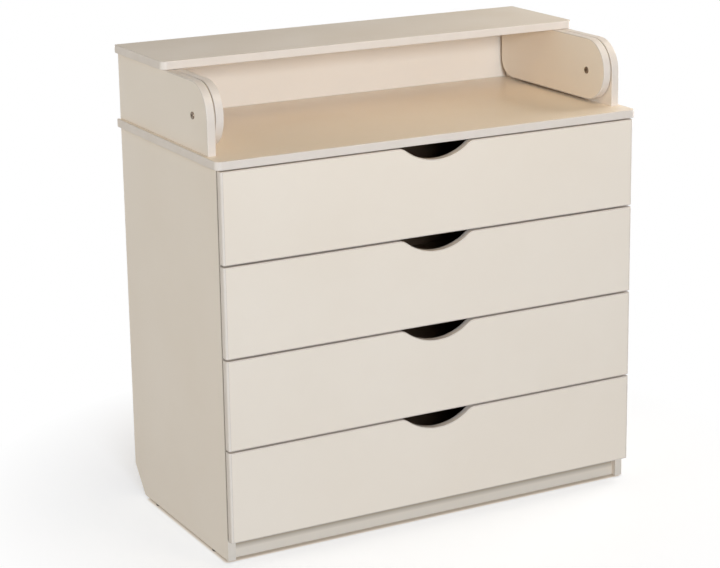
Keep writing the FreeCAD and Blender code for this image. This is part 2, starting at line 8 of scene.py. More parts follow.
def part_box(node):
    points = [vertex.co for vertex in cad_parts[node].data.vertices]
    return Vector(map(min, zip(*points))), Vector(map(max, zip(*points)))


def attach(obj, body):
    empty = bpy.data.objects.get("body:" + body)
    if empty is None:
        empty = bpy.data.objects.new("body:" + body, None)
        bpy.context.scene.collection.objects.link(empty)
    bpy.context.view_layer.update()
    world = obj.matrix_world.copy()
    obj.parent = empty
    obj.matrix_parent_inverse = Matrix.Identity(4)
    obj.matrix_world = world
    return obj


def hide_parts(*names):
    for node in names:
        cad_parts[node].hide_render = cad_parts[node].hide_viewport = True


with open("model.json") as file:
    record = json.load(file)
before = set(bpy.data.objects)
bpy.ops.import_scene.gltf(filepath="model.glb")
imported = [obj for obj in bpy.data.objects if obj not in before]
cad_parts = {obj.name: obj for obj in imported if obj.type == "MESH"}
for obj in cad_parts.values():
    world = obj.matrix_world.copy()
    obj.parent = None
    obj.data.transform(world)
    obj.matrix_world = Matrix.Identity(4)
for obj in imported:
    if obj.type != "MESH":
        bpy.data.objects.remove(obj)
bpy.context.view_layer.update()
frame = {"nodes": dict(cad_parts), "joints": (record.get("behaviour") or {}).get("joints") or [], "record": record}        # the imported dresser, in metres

nodes = frame["nodes"]
bodies = frame["record"]["behaviour"]["bodies"]
bodyOf = {node: body for body, members in bodies.items() for node in members}
slotOf = {entry["node"]: entry["material_slot"] for entry in frame["record"]["subparts"]}
lidTurn = [joint for joint in frame["joints"] if joint["name"] == "lid_turn"][0]
pivotLine = Vector(lidTurn["pos_m"])
drawerNumbers = range(1, 5)      # 1 is the top drawer
bothSides = {"left": -1, "right": 1}
mirrorX = Matrix.Diagonal((-1, 1, 1, 1))
flips = (Matrix.Identity(4), mirrorX)


def say(stage):
    print("scene:", stage)


# modelling helpers

def deselectAll():
    if bpy.context.object and bpy.context.object.mode != "OBJECT":
        bpy.ops.object.mode_set(mode="OBJECT")
    bpy.ops.object.select_all(action="DESELECT")


def activate(piece):
    deselectAll()
    piece.select_set(True)
    bpy.context.view_layer.objects.active = piece


def settle(name):
    # names the new primitive and puts its place into its mesh
    piece = bpy.context.object
    piece.name = name
    bpy.ops.object.transform_apply(location=True, rotation=True, scale=True)
    return piece


def addBlock(name, low, high):
    deselectAll()
    bpy.ops.mesh.primitive_cube_add(size=1, location=(Vector(low) + Vector(high)) / 2)
    bpy.context.object.scale = Vector(high) - Vector(low)
    return settle(name)


def addRod(name, centre, radius, length, axis, sides=32):
    deselectAll()
    turn = {"X": (0, math.pi / 2, 0), "Y": (math.pi / 2, 0, 0), "Z": (0, 0, 0)}[axis]
    bpy.ops.mesh.primitive_cylinder_add(
        vertices=sides, radius=radius, depth=length, location=centre, rotation=turn)
    return settle(name)


def selectEdges(piece, wanted):
    # picks edges in edit mode and leaves the piece there
    activate(piece)
    bpy.ops.object.mode_set(mode="EDIT")
    bpy.ops.mesh.select_mode(type="EDGE")
    bpy.ops.mesh.select_all(action="DESELECT")
    shape = bmesh.from_edit_mesh(piece.data)
    for edge in shape.edges:
        edge.select_set(wanted(edge))
    bmesh.update_edit_mesh(piece.data)


def roundEdges(piece, wanted, radius, steps):
    selectEdges(piece, wanted)
    bpy.ops.mesh.bevel(
        offset=radius, offset_type="OFFSET", segments=steps, profile=0.5, affect="EDGES", clamp_overlap=False)
    bpy.ops.object.mode_set(mode="OBJECT")


def part(vector, axis):
    # the x, y or z of a vector
    return getattr(vector, axis.lower())


def along(edge, axis, least=0.999):
    step = edge.verts[1].co - edge.verts[0].co
    return abs(part(step, axis)) > least * step.length > 0


def at(edge, axis, value, slack=0.00006):
    return all(abs(part(vert.co, axis) - value) < slack for vert in edge.verts)


def sharp(edge, angle=50):
    return len(edge.link_faces) == 2 and edge.calc_face_angle() > math.radians(angle)


def looks(face, axis, way, least=0.5):
    # true for a face that looks one way along an axis; way is 1 or -1
    return way * part(face.normal, axis) > least


def edgesAlong(axis, onlySharp=False, **places):
    # picks the edges along an axis that lie at the places given, as in y=0.2
    def wanted(edge):
        inPlace = all(at(edge, other, value) for other, value in places.items())
        return along(edge, axis) and inPlace and (sharp(edge) or not onlySharp)
    return wanted


def roundRim(piece, axis, value, radius, steps):
    # rounds the sharp edges that lie in one plane across an axis
    roundEdges(piece, lambda edge: at(edge, axis, value) and sharp(edge), radius, steps)


def applyModifier(piece, kind, **settings):
    activate(piece)
    modifier = piece.modifiers.new(kind.lower(), kind)
    for key, value in settings.items():
        setattr(modifier, key, value)
    bpy.ops.object.modifier_apply(modifier=modifier.name)


def smooth(piece, angle=40):
    # smooth shading whose flat faces stay flat
    activate(piece)
    bpy.ops.object.shade_smooth_by_angle(angle=math.radians(angle))
    applyModifier(piece, "WEIGHTED_NORMAL", mode="FACE_AREA", weight=50, keep_sharp=True)


def cutWith(piece, cutter):
    applyModifier(piece, "BOOLEAN", operation="DIFFERENCE", solver="EXACT", object=cutter)
    bpy.data.objects.remove(cutter)


def drill(piece, centre, radius, length, axis, sides=32):
    cutWith(piece, addRod("drill", centre, radius, length, axis, sides))


def moved(x, y, z):
    return Matrix.Translation((x, y, z))


def copyPiece(piece, name, placing):
    # a copy with its own mesh; a placing that mirrors it gets its faces turned outward again
    twin = piece.copy()
    twin.data = piece.data.copy()
    twin.name = name
    bpy.context.scene.collection.objects.link(twin)
    twin.data.transform(placing)
    if placing.determinant() < 0:
        twin.data.flip_normals()
    return twin


def joinPieces(name, pieces):
    deselectAll()
    for piece in pieces:
        piece.select_set(True)
    bpy.context.view_layer.objects.active = pieces[0]
    bpy.ops.object.join()
    pieces[0].name = name
    return pieces[0]


def standFor(piece, *replaced):
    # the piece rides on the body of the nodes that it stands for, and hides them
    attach(piece, bodyOf[replaced[0]])
    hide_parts(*replaced)


def finishSet(name, pieces, node):
    # the copies joined into the one piece that stands for a node
    piece = joinPieces(name, pieces)
    smooth(piece)
    standFor(piece, node)


def finishTrim(name, pieces, body):
    # the copies joined into one piece that is in this script alone
    piece = joinPieces(name, pieces)
    smooth(piece)
    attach(piece, body)


# camera, light and floor

view = {
    "aim": (0.0, 0.014, 0.460), "yaw": 29.19, "pitch": 14.73, "roll": -0.57,
    "right": -0.04678, "up": -0.04809, "away": 4.30936,
    "focalPixels": 2173.24, "centreX": 400.0, "centreY": 240.0,
    "pictureWidth": 720, "pictureHeight": 568, "sensor": 36.0, "nearest": 0.05, "farthest": 60,
}


def makeCamera(v):
    yaw, pitch, roll = (math.radians(v[key]) for key in ("yaw", "pitch", "roll"))
    ahead = Vector((math.sin(yaw) * math.cos(pitch), math.cos(yaw) * math.cos(pitch), -math.sin(pitch)))
    level = Vector((math.cos(yaw), -math.sin(yaw), 0))
    above = level.cross(ahead)
    right = math.cos(roll) * level + math.sin(roll) * above
    up = -math.sin(roll) * level + math.cos(roll) * above
    data = bpy.data.cameras.new("photoCamera")
    camera = bpy.data.objects.new("photoCamera", data)
    bpy.context.scene.collection.objects.link(camera)
    place = Vector(v["aim"]) - right * v["right"] - up * v["up"] - ahead * v["away"]
    turn = Matrix((right, up, -ahead)).transposed()
    camera.matrix_world = Matrix.Translation(place) @ turn.to_4x4()
    data.sensor_width = v["sensor"]
    data.lens = v["focalPixels"] / v["pictureWidth"] * v["sensor"]
    data.shift_x = (v["pictureWidth"] / 2 - v["centreX"]) / v["pictureWidth"]
    data.shift_y = (v["centreY"] - v["pictureHeight"] / 2) / v["pictureWidth"]
    data.clip_start = v["nearest"]
    data.clip_end = v["farthest"]
    bpy.context.scene.camera = camera


lights = {
    # name: place, (width, height), power, colour
    "main": ((-2.4, -8.35, 2.7), (2.6, 2.0), 572, (0.88, 1.0, 1.165)),
    "leftFill": ((-4.0, 0.2, 1.0), (2.6, 1.6), 42, (1.0, 1.0, 0.94)),
    "leftAbove": ((-2.8, 0.0, 1.9), (1.6, 1.2), 4, (1.0, 0.98, 0.95)),
    "rightAbove": ((1.25, -0.05, 1.42), (0.6, 0.6), 7.4, (1.0, 1.0, 1.0)),
    "above": ((0.0, 0.0, 3.2), (2.4, 2.4), 3, (1.0, 0.70, 0.20)),
    "frontAbove": ((0.1, -0.95, 1.95), (0.5, 0.5), 5.4, (1.0, 0.82, 0.56)),
    "backFill": ((1.2, 4.6, 0.45), (2.6, 0.8), 110, (1.0, 1.0, 1.0)),
    "rightFill": ((4.4, 0.4, 0.42), (2.2, 0.7), 60, (1.0, 1.0, 1.0)),
}
studio = {
    "upward": (1.0, 0.90, 0.78), "upwardStrength": 0.06, "level": (1.0, 0.98, 0.95), "levelStrength": 0.10,
    "levelTo": 0.05, "upwardFrom": 0.75, "shown": 1.0, "lampAim": (0, 0, 0.5),
    "floorSize": 30, "floorColour": (0.55, 0.545, 0.54), "floorGlow": 0.56,
    "clearFrom": 0.50, "clearTo": 0.85,      # from here on the floor shows as plain white
    # painted shadow on the floor under the dresser: a dimmer, warmer glow within its footprint
    "footHalf": 0.438, "footFront": -0.204, "footBack": 0.170, "footSoft": 0.010, "shadowGlow": 0.22,
    "shadowColour": (1.0, 0.70, 0.36),
}


def makeLights(s):
    for name, (place, size, power, colour) in lights.items():
        data = bpy.data.lights.new(name, "AREA")
        data.shape = "RECTANGLE"
        data.size, data.size_y = size
        data.energy = power
        data.color = colour
        lamp = bpy.data.objects.new(name, data)
        bpy.context.scene.collection.objects.link(lamp)
        lamp.location = place
        lamp.rotation_euler = (Vector(s["lampAim"]) - Vector(place)).to_track_quat("-Z", "Y").to_euler()


# node helpers

def put(tree, kind, inputs=None, **settings):
    # adds a node; an input given as a socket is linked, anything else is its value
    node = tree.nodes.new("ShaderNode" + kind)
    for key, value in settings.items():
        setattr(node, key, value)
    for key, value in (inputs or {}).items():
        if isinstance(value, bpy.types.NodeSocket):
            tree.links.new(value, node.inputs[key])
        else:
            node.inputs[key].default_value = value
    return node


def calculate(tree, first, second, operation="ADD"):
    return put(tree, "Math", {0: first, 1: second}, operation=operation).outputs[0]


def times(tree, mask, share):
    return calculate(tree, mask, share, "MULTIPLY")


def distance(tree, value):
    return put(tree, "Math", {0: value}, operation="ABSOLUTE").outputs[0]


def spread(tree, value, fromLow, fromHigh, toLow, toHigh):
    # maps a mask onto another range and stops at its ends
    inputs = {"Value": value, "From Min": fromLow, "From Max": fromHigh, "To Min": toLow, "To Max": toHigh}
    return put(tree, "MapRange", inputs).outputs["Result"]


def contrast(tree, value, low, high):
    # 0 up to low and 1 from high on
    return spread(tree, value, low, high, 0.0, 1.0)


def blendColours(tree, factor, first, second):
    # each colour is a socket, or red, green and blue; inputs 6 and 7 and output 2 carry colours
    first, second = (colour if isinstance(colour, bpy.types.NodeSocket) else (*colour, 1)
                     for colour in (first, second))
    return put(tree, "Mix", {0: factor, 6: first, 7: second}, data_type="RGBA").outputs[2]


def seenRays(tree):
    # the rays that show the background: from the camera, or by reflection or through glass
    paths = put(tree, "LightPath")
    seen = calculate(tree, paths.outputs["Is Camera Ray"], paths.outputs["Is Glossy Ray"], "MAXIMUM")
    return calculate(tree, seen, paths.outputs["Is Transmission Ray"], "MAXIMUM")


def makeWorld(s):
    world = bpy.data.worlds.new("studio")
    bpy.context.scene.world = world
    world.use_nodes = True
    tree = world.node_tree
    tree.nodes.clear()
    heading = put(tree, "TexCoord").outputs["Generated"]
    height = put(tree, "SeparateXYZ", {0: heading}).outputs["Z"]
    upward = contrast(tree, height, s["levelTo"], s["upwardFrom"])
    level = put(tree, "Background", {"Color": (*s["level"], 1), "Strength": s["levelStrength"]})
    above = put(tree, "Background", {"Color": (*s["upward"], 1), "Strength": s["upwardStrength"]})
    fill = put(tree, "MixShader", {0: upward, 1: level.outputs[0], 2: above.outputs[0]})
    shown = put(tree, "Background", {"Color": (1, 1, 1, 1), "Strength": s["shown"]})
    both = put(tree, "MixShader", {0: seenRays(tree), 1: fill.outputs[0], 2: shown.outputs[0]})
    put(tree, "OutputWorld", {"Surface": both.outputs[0]})


def makeFloor(s):
    deselectAll()
    bpy.ops.mesh.primitive_plane_add(size=s["floorSize"], location=(0, 0, 0))
    floor = settle("floor")
    material = bpy.data.materials.new("paleFloor")
    material.use_nodes = True
    tree = material.node_tree
    tree.nodes.clear()
    place = put(tree, "TexCoord").outputs["Object"]
    reach = put(tree, "VectorMath", {0: place}, operation="LENGTH").outputs["Value"]
    clear = contrast(tree, reach, s["clearFrom"], s["clearTo"])
    matt = put(tree, "BsdfDiffuse", {"Color": (*s["floorColour"], 1)})
    axes = put(tree, "SeparateXYZ", {0: place}).outputs
    aside = distance(tree, axes["X"])
    soft = s["footSoft"]
    # painted shadow: within the dresser's footprint the floor glows dimmer and warmer
    shadowMask = spread(tree, aside, s["footHalf"], s["footHalf"] + soft, 1.0, 0.0)
    for edge, toLow, toHigh in (("footFront", 0.0, 1.0), ("footBack", 1.0, 0.0)):
        inside = spread(tree, axes["Y"], s[edge] - soft / 2, s[edge] + soft / 2, toLow, toHigh)
        shadowMask = times(tree, shadowMask, inside)
    glowing = spread(tree, shadowMask, 0.0, 1.0, s["floorGlow"], s["shadowGlow"])
    tint = blendColours(tree, shadowMask, (1, 1, 1), s["shadowColour"])
    glow = put(tree, "Emission", {"Color": tint, "Strength": glowing})
    near = put(tree, "AddShader", {0: matt.outputs[0], 1: glow.outputs[0]})
    white = put(tree, "Emission", {"Color": (1, 1, 1, 1), "Strength": s["shown"]})
    shown = put(tree, "MixShader", {0: clear, 1: near.outputs[0], 2: white.outputs[0]})
    both = put(tree, "MixShader", {0: seenRays(tree), 1: matt.outputs[0], 2: shown.outputs[0]})
    put(tree, "OutputMaterial", {"Surface": both.outputs[0]})
    floor.data.materials.append(material)


say("camera, light and floor")
makeCamera(view)
makeLights(studio)
makeWorld(studio)
makeFloor(studio)
bpy.context.scene.view_settings.view_transform = "Standard"


# effects that several finishes share

def startGroup(name, inputs, outputs):
    tree = bpy.data.node_groups.new(name, "ShaderNodeTree")
    for label, kind in inputs.items():
        tree.interface.new_socket(name=label, in_out="INPUT", socket_type="NodeSocket" + kind)
    for label, kind in outputs.items():
        tree.interface.new_socket(name=label, in_out="OUTPUT", socket_type="NodeSocket" + kind)
    return tree, tree.nodes.new("NodeGroupInput").outputs, tree.nodes.new("NodeGroupOutput").inputs


effects = {
    "clouds": {"Detail": 4.0, "Roughness": 0.55}, "cloudEnds": (0.34, 0.66),
    "speckle": {"Detail": 2.0, "Roughness": 0.7}, "speckleEnds": (0.3, 0.7),
    "ripple": {"Detail": 2.0}, "poreShare": 0.6,
    "rubs": {"Detail": 3.0, "Distortion": 1.4}, "rubMiddle": 0.5, "rubWidth": 0.012,
    "patches": {"Detail": 2.0}, "patchEnds": (0.56, 0.70),
    "streaks": {"Detail": 5.0, "Roughness": 0.65}, "streakEnds": (0.32, 0.68),
    "bend": {"Detail": 2.0}, "bendScale": 300.0, "bendReach": 0.004, "gapEnds": (0.45, 0.75),
}


def noise(tree, place, scale, grain):
    return put(tree, "TexNoise", {"Vector": place, "Scale": scale, **grain}).outputs


def makeMottle(s):
    # cloudy colour differences with a fine speckle in them
    inputs = {"Place": "Vector", "Colour": "Color", "Shade": "Color", "Cloud Scale": "Float",
              "Speckle Scale": "Float", "Speckle": "Float"}
    tree, given, made = startGroup("mottle", inputs, {"Colour": "Color", "Mask": "Float"})
    clouds = noise(tree, given["Place"], given["Cloud Scale"], s["clouds"])["Fac"]
    speckle = noise(tree, given["Place"], given["Speckle Scale"], s["speckle"])["Fac"]
    fine = times(tree, spread(tree, speckle, *s["speckleEnds"], -1.0, 1.0), given["Speckle"])
    mask = calculate(tree, contrast(tree, clouds, *s["cloudEnds"]), fine)
    tree.links.new(blendColours(tree, mask, given["Colour"], given["Shade"]), made["Colour"])
    tree.links.new(mask, made["Mask"])
    return tree


def makePearl(s):
    # the soft orange peel of a pressed laminate
    inputs = {"Place": "Vector", "Scale": "Float", "Ripple Scale": "Float"}
    tree, given, made = startGroup("pearl", inputs, {"Height": "Float"})
    pores = put(tree, "TexVoronoi", {"Vector": given["Place"], "Scale": given["Scale"]},
                feature="SMOOTH_F1").outputs["Distance"]
    ripple = noise(tree, given["Place"], given["Ripple Scale"], s["ripple"])["Fac"]
    tree.links.new(calculate(tree, times(tree, pores, s["poreShare"]), ripple), made["Height"])
    return tree


def makeScuffs(s):
    # short thin rubs, gathered in a few patches
    inputs = {"Place": "Vector", "Scale": "Float", "Patch Scale": "Float", "Amount": "Float"}
    tree, given, made = startGroup("scuffs", inputs, {"Mask": "Float"})
    wander = noise(tree, given["Place"], given["Scale"], s["rubs"])["Fac"]
    line = distance(tree, calculate(tree, wander, s["rubMiddle"], "SUBTRACT"))
    line = spread(tree, line, 0.0, s["rubWidth"], 1.0, 0.0)
    patches = noise(tree, given["Place"], given["Patch Scale"], s["patches"])["Fac"]
    patches = contrast(tree, patches, *s["patchEnds"])
    tree.links.new(times(tree, times(tree, line, patches), given["Amount"]), made["Mask"])
    return tree


def makeStreaks(s):
    # lines along one direction, which the vector's own scaling gives
    tree, given, made = startGroup("streaks", {"Place": "Vector", "Scale": "Float"}, {"Mask": "Float"})
    coarse = noise(tree, given["Place"], given["Scale"], s["streaks"])["Fac"]
    tree.links.new(contrast(tree, coarse, *s["streakEnds"]), made["Mask"])
    return tree


def makeChips(s):
    # pressed wood particles: flat cells of mixed tone with gaps between them
    inputs = {"Place": "Vector", "Scale": "Float"}
    tree, given, made = startGroup("chips", inputs, {"Tone": "Float", "Gap": "Float"})
    bend = noise(tree, given["Place"], s["bendScale"], s["bend"])["Color"]
    bent = put(tree, "VectorMath", {0: bend, 1: 3 * (s["bendReach"],)}, operation="MULTIPLY").outputs[0]
    place = put(tree, "VectorMath", {0: given["Place"], 1: bent}, operation="ADD").outputs[0]
    cells = put(tree, "TexVoronoi", {"Vector": place, "Scale": given["Scale"]})
    tone = put(tree, "SeparateColor", {0: cells.outputs["Color"]}).outputs[0]
    tree.links.new(tone, made["Tone"])
    tree.links.new(contrast(tree, cells.outputs["Distance"], *s["gapEnds"]), made["Gap"])
    return tree


mottle = makeMottle(effects)
pearl = makePearl(effects)
scuffs = makeScuffs(effects)
streaks = makeStreaks(effects)
chips = makeChips(effects)


def useGroup(tree, group, **inputs):
    # an underscore in a keyword is the space in the socket's name
    named = {label.replace("_", " "): value for label, value in inputs.items()}
    return put(tree, "Group", named, node_tree=group).outputs


def useTone(tree, place, s):
    # the finish's colour and shade, in clouds with fine grains
    return useGroup(tree, mottle, Place=place, Colour=(*s["colour"], 1), Shade=(*s["shade"], 1),
                    Cloud_Scale=s["clouds"], Speckle_Scale=s["grains"], Speckle=s["speckle"])


def useRubs(tree, place, s):
    return useGroup(tree, scuffs, Place=place, Scale=s["rubScale"], Patch_Scale=s["rubPatches"],
                    Amount=s["wear"])["Mask"]


def usePeel(tree, place, s):
    return useGroup(tree, pearl, Place=place, Scale=s["pores"], Ripple_Scale=s["ripple"])["Height"]


def useStreaks(tree, place, drawn, scale):
    # the larger numbers in drawn are across the streaks
    stretched = put(tree, "Mapping", {"Vector": place, "Scale": drawn}).outputs[0]
    return useGroup(tree, streaks, Place=stretched, Scale=scale)["Mask"]


def roughen(tree, mask, s):
    return spread(tree, mask, 0.0, 1.0, *s["rough"])


# surfaces: each gives its colour, roughness and relief

def laminate(tree, place, s):
    # satin melamine face: faint clouds, pearl surface, a few rubs that only change the gloss
    tone = useTone(tree, place, s)
    rubbed = times(tree, useRubs(tree, place, s), s["rub"])
    rough = calculate(tree, roughen(tree, tone["Mask"], s), rubbed, "SUBTRACT")
    return tone["Colour"], rough, usePeel(tree, place, s)


def paintedShadeFace(tree, place, s):
    # laminate or band in the recess of the fronts, with painted shade from one height up: darker and duller
    # there
    height = put(tree, "SeparateXYZ", {0: place}).outputs["Z"]
    paintedShade = contrast(tree, height, s["shadeFrom"], s["shadeTo"])
    colour = blendColours(tree, paintedShade, useTone(tree, place, s)["Colour"], s["paintedShade"])
    return colour, roughen(tree, paintedShade, s), usePeel(tree, place, s)


def edgeBand(tree, place, s):
    # like the faces, but rubbed paler and a little flatter here and there
    tone = useTone(tree, place, s)
    rubs = useRubs(tree, place, s)
    colour = blendColours(tree, rubs, tone["Colour"], s["rubbed"])
    relief = calculate(tree, usePeel(tree, place, s), times(tree, rubs, s["rubDeep"]), "SUBTRACT")
    return colour, roughen(tree, tone["Mask"], s), relief


def glueLine(tree, place, s):
    # the hairline between a band and a face, without relief
    tone = useTone(tree, place, s)
    return tone["Colour"], roughen(tree, tone["Mask"], s), None


def chipboard(tree, place, s):
    # a sawn edge with no band: coarse chips with fine ones among them, and dark gaps
    coarse = useGroup(tree, chips, Place=place, Scale=s["coarse"])
    fine = useGroup(tree, chips, Place=place, Scale=s["fine"])
    coarseTone = times(tree, coarse["Tone"], s["coarseShare"])
    tone = calculate(tree, coarseTone, times(tree, fine["Tone"], s["fineShare"]))
    gaps = times(tree, coarse["Gap"], s["gapShare"])
    colour = blendColours(tree, gaps, blendColours(tree, tone, s["dark"], s["pale"]), s["gap"])
    return colour, roughen(tree, tone, s), calculate(tree, tone, coarse["Gap"], "SUBTRACT")


def hardboard(tree, place, s):
    # pressed fibre: short felted threads both ways over cloudy brown
    first, second = (useStreaks(tree, place, *threads) for threads in s["threads"])
    fibres = times(tree, first, second)
    shown = times(tree, fibres, s["fibre"])
    colour = blendColours(tree, shown, useTone(tree, place, s)["Colour"], s["thread"])
    return colour, roughen(tree, fibres, s), fibres


def zincPlate(tree, place, s):
    # spangle, rolling lines along the part and duller patches
    cells = put(tree, "TexVoronoi", {"Vector": place, "Scale": s["spangle"]}).outputs["Color"]
    cells = put(tree, "SeparateColor", {0: cells}).outputs[0]
    lines = useStreaks(tree, place, s["rolled"], s["lines"])
    bright = times(tree, cells, s["cellColour"])
    colour = blendColours(tree, bright, useTone(tree, place, s)["Colour"], s["bright"])
    dull = times(tree, cells, s["cellRough"])
    return colour, calculate(tree, roughen(tree, lines, s), dull), lines


def rubbedSkin(tree, place, s):
    # cast metal or moulded plastic: an even grain, rubbed to another colour in places
    tone = useTone(tree, place, s)
    colour = blendColours(tree, useRubs(tree, place, s), tone["Colour"], s["rubbed"])
    return colour, roughen(tree, tone["Mask"], s), usePeel(tree, place, s)


def dowelWood(tree, place, s):
    # fluted beech with fine pores along the rod
    pores = useStreaks(tree, place, s["drawn"], s["poreScale"])
    shown = times(tree, pores, s["poreShare"])
    colour = blendColours(tree, shown, useTone(tree, place, s)["Colour"], s["pore"])
    return colour, roughen(tree, pores, s), pores


plainShader = {"gloss": 0.5, "metal": 0.0, "scatter": 0.0}


def makeFinish(name, surface, s):
    material = bpy.data.materials.new(name)
    material.use_nodes = True
    tree = material.node_tree
    shader = tree.nodes["Principled BSDF"]
    constants = {**plainShader, **s}
    shader.inputs["Specular IOR Level"].default_value = constants["gloss"]
    shader.inputs["Metallic"].default_value = constants["metal"]
    shader.inputs["Subsurface Weight"].default_value = constants["scatter"]
    colour, roughness, relief = surface(tree, put(tree, "TexCoord").outputs["Object"], s)
    tree.links.new(colour, shader.inputs["Base Color"])
    tree.links.new(roughness, shader.inputs["Roughness"])
    if relief is not None:
        strength, depth = s["bump"]
        bump = put(tree, "Bump", {"Height": relief, "Strength": strength, "Distance": depth})
        tree.links.new(bump.outputs[0], shader.inputs["Normal"])
    return material


laminateSkin = {
    "clouds": 3.2, "grains": 1400.0, "speckle": 0.16, "rough": (0.30, 0.38), "gloss": 0.42,
    "rubScale": 16.0, "rubPatches": 5.0, "wear": 1.0, "rub": 0.03,
    "pores": 900.0, "ripple": 260.0, "bump": (0.10, 0.0002),      # a bump is strength and depth
}
creamFace = makeFinish("creamLaminate", laminate, {
    **laminateSkin, "colour": (0.805, 0.695, 0.570), "shade": (0.785, 0.672, 0.544)})
# painted warm bounce light: a lighter, warmer copy of the cream laminate for the boards around the niche
bounceLitFace = makeFinish("bounceLitLaminate", laminate, {
    **laminateSkin, "colour": (0.872, 0.742, 0.585), "shade": (0.854, 0.720, 0.559)})
# painted shade: a darker copy of the laminate for the lid's top
shadedLidFace = makeFinish("lidShadedLaminate", laminate, {
    **laminateSkin, "colour": (0.700, 0.590, 0.455), "shade": (0.680, 0.567, 0.430), "gloss": 0.40})
# dark brown for the drawer boxes; the dark tone also stands in for the shade inside the drawers, seen through
# the cut-outs
nutFace = makeFinish("nutMelamine", laminate, {
    **laminateSkin, "colour": (0.300, 0.190, 0.115), "shade": (0.245, 0.150, 0.088), "clouds": 7.0,
    "rough": (0.46, 0.58), "gloss": 0.35, "rub": 0.05})
# painted shade: the plinth is a darker copy of the cream laminate, with a painted shadow along its top under
# the lowest front
shadedPlinthFace = makeFinish("plinthShadedLaminate", paintedShadeFace, {
    **laminateSkin, "colour": (0.720, 0.618, 0.500), "shade": (0.700, 0.596, 0.476),
    "paintedShade": (0.36, 0.290, 0.212), "shadeFrom": 0.020, "shadeTo": 0.031, "rough": (0.34, 0.6), "gloss": 0.40})
# painted shade: the side panels' front band is darker, and darker still in the gap behind the fronts
shadedPanelBand = makeFinish("shadedPanelBand", paintedShadeFace, {
    **laminateSkin, "colour": (0.700, 0.608, 0.505), "shade": (0.680, 0.588, 0.482), "clouds": 22.0,
    "paintedShade": (0.43, 0.355, 0.275), "shadeFrom": 0.044, "shadeTo": 0.048, "rough": (0.32, 0.6), "gloss": 0.36})

bandSkin = {
    "clouds": 22.0, "grains": 1600.0, "speckle": 0.2, "rubScale": 60.0, "rubPatches": 14.0, "rubDeep": 0.5,
    "pores": 1300.0, "ripple": 420.0, "bump": (0.08, 0.0002),
}
# darker than the faces; part of the darker tone is painted shade on the rounded edges
creamBand = makeFinish("creamBand", edgeBand, {
    **bandSkin, "colour": (0.715, 0.624, 0.535), "shade": (0.695, 0.602, 0.510),
    "rubbed": (0.76, 0.69, 0.61), "rough": (0.32, 0.40), "gloss": 0.36, "wear": 0.6})
nutBand = makeFinish("nutBand", edgeBand, {
    **bandSkin, "colour": (0.290, 0.180, 0.108), "shade": (0.240, 0.145, 0.085),
    "rubbed": (0.42, 0.31, 0.21), "rough": (0.38, 0.50), "gloss": 0.40, "wear": 0.5})
glueSeam = makeFinish("glueSeam", glueLine, {
    "colour": (0.56, 0.47, 0.37), "shade": (0.44, 0.36, 0.27), "clouds": 90.0, "grains": 900.0,
    "speckle": 0.3, "rough": (0.5, 0.7), "gloss": 0.2})

rawChips = makeFinish("rawChipboard", chipboard, {
    "dark": (0.30, 0.19, 0.10), "pale": (0.62, 0.47, 0.30), "gap": (0.10, 0.06, 0.035),
    "coarse": 420.0, "coarseShare": 0.65, "fine": 1100.0, "fineShare": 0.35, "gapShare": 0.7,
    "rough": (0.95, 0.8), "gloss": 0.2, "bump": (0.6, 0.0006)})

sheetSkin = {
    "clouds": 9.0, "grains": 700.0, "speckle": 0.5, "gloss": 0.3, "bump": (0.25, 0.0003),
    "threads": (((5, 1, 1), 160.0), ((1, 1, 5), 170.0)),
}
brownSheet = makeFinish("brownHardboard", hardboard, {
    **sheetSkin, "colour": (0.36, 0.22, 0.12), "shade": (0.27, 0.155, 0.08), "thread": (0.50, 0.34, 0.20),
    "fibre": 0.8, "rough": (0.65, 0.85)})
paleSheet = makeFinish("paleHardboard", hardboard, {
    **sheetSkin, "colour": (0.78, 0.735, 0.67), "shade": (0.75, 0.70, 0.63), "thread": (0.80, 0.76, 0.70),
    "fibre": 0.3, "rough": (0.42, 0.55)})
nutSheet = makeFinish("nutHardboard", hardboard, {
    **sheetSkin, "colour": (0.290, 0.185, 0.110), "shade": (0.245, 0.150, 0.088),
    "thread": (0.36, 0.25, 0.16), "fibre": 0.3, "rough": (0.46, 0.60)})

steelSkin = {
    "clouds": 30.0, "grains": 1500.0, "speckle": 0.2, "lines": 420.0, "cellColour": 0.25, "cellRough": 0.06,
    "metal": 1.0, "bump": (0.06, 0.0001),
}
slideZinc = makeFinish("slideZinc", zincPlate, {
    **steelSkin, "colour": (0.60, 0.61, 0.62), "shade": (0.52, 0.53, 0.54), "bright": (0.72, 0.73, 0.74),
    "spangle": 260.0, "rolled": (6, 1, 6), "rough": (0.26, 0.40)})
screwZinc = makeFinish("screwZinc", zincPlate, {
    **steelSkin, "colour": (0.58, 0.57, 0.54), "shade": (0.46, 0.45, 0.42), "bright": (0.74, 0.73, 0.70),
    "spangle": 900.0, "rolled": (2, 1, 1), "rough": (0.24, 0.38)})
ballSteel = makeFinish("ballSteel", zincPlate, {
    **steelSkin, "colour": (0.66, 0.66, 0.66), "shade": (0.60, 0.60, 0.60), "bright": (0.78, 0.78, 0.78),
    "spangle": 1500.0, "rolled": (1, 1, 1), "rough": (0.12, 0.2)})

castSkin = {
    "clouds": 180.0, "grains": 2400.0, "speckle": 0.5, "rubScale": 240.0, "rubPatches": 110.0,
    "pores": 2600.0, "ripple": 900.0, "bump": (0.15, 0.0002),
}
castZinc = makeFinish("castZinc", rubbedSkin, {
    **castSkin, "colour": (0.42, 0.42, 0.43), "shade": (0.32, 0.32, 0.33), "rubbed": (0.66, 0.66, 0.66),
    "rough": (0.38, 0.55), "wear": 0.8, "metal": 0.9})
bronzedSteel = makeFinish("bronzedSteel", rubbedSkin, {
    **castSkin, "colour": (0.26, 0.20, 0.145), "shade": (0.17, 0.125, 0.085), "rubbed": (0.55, 0.45, 0.34),
    "rough": (0.30, 0.48), "wear": 0.9, "metal": 0.85})

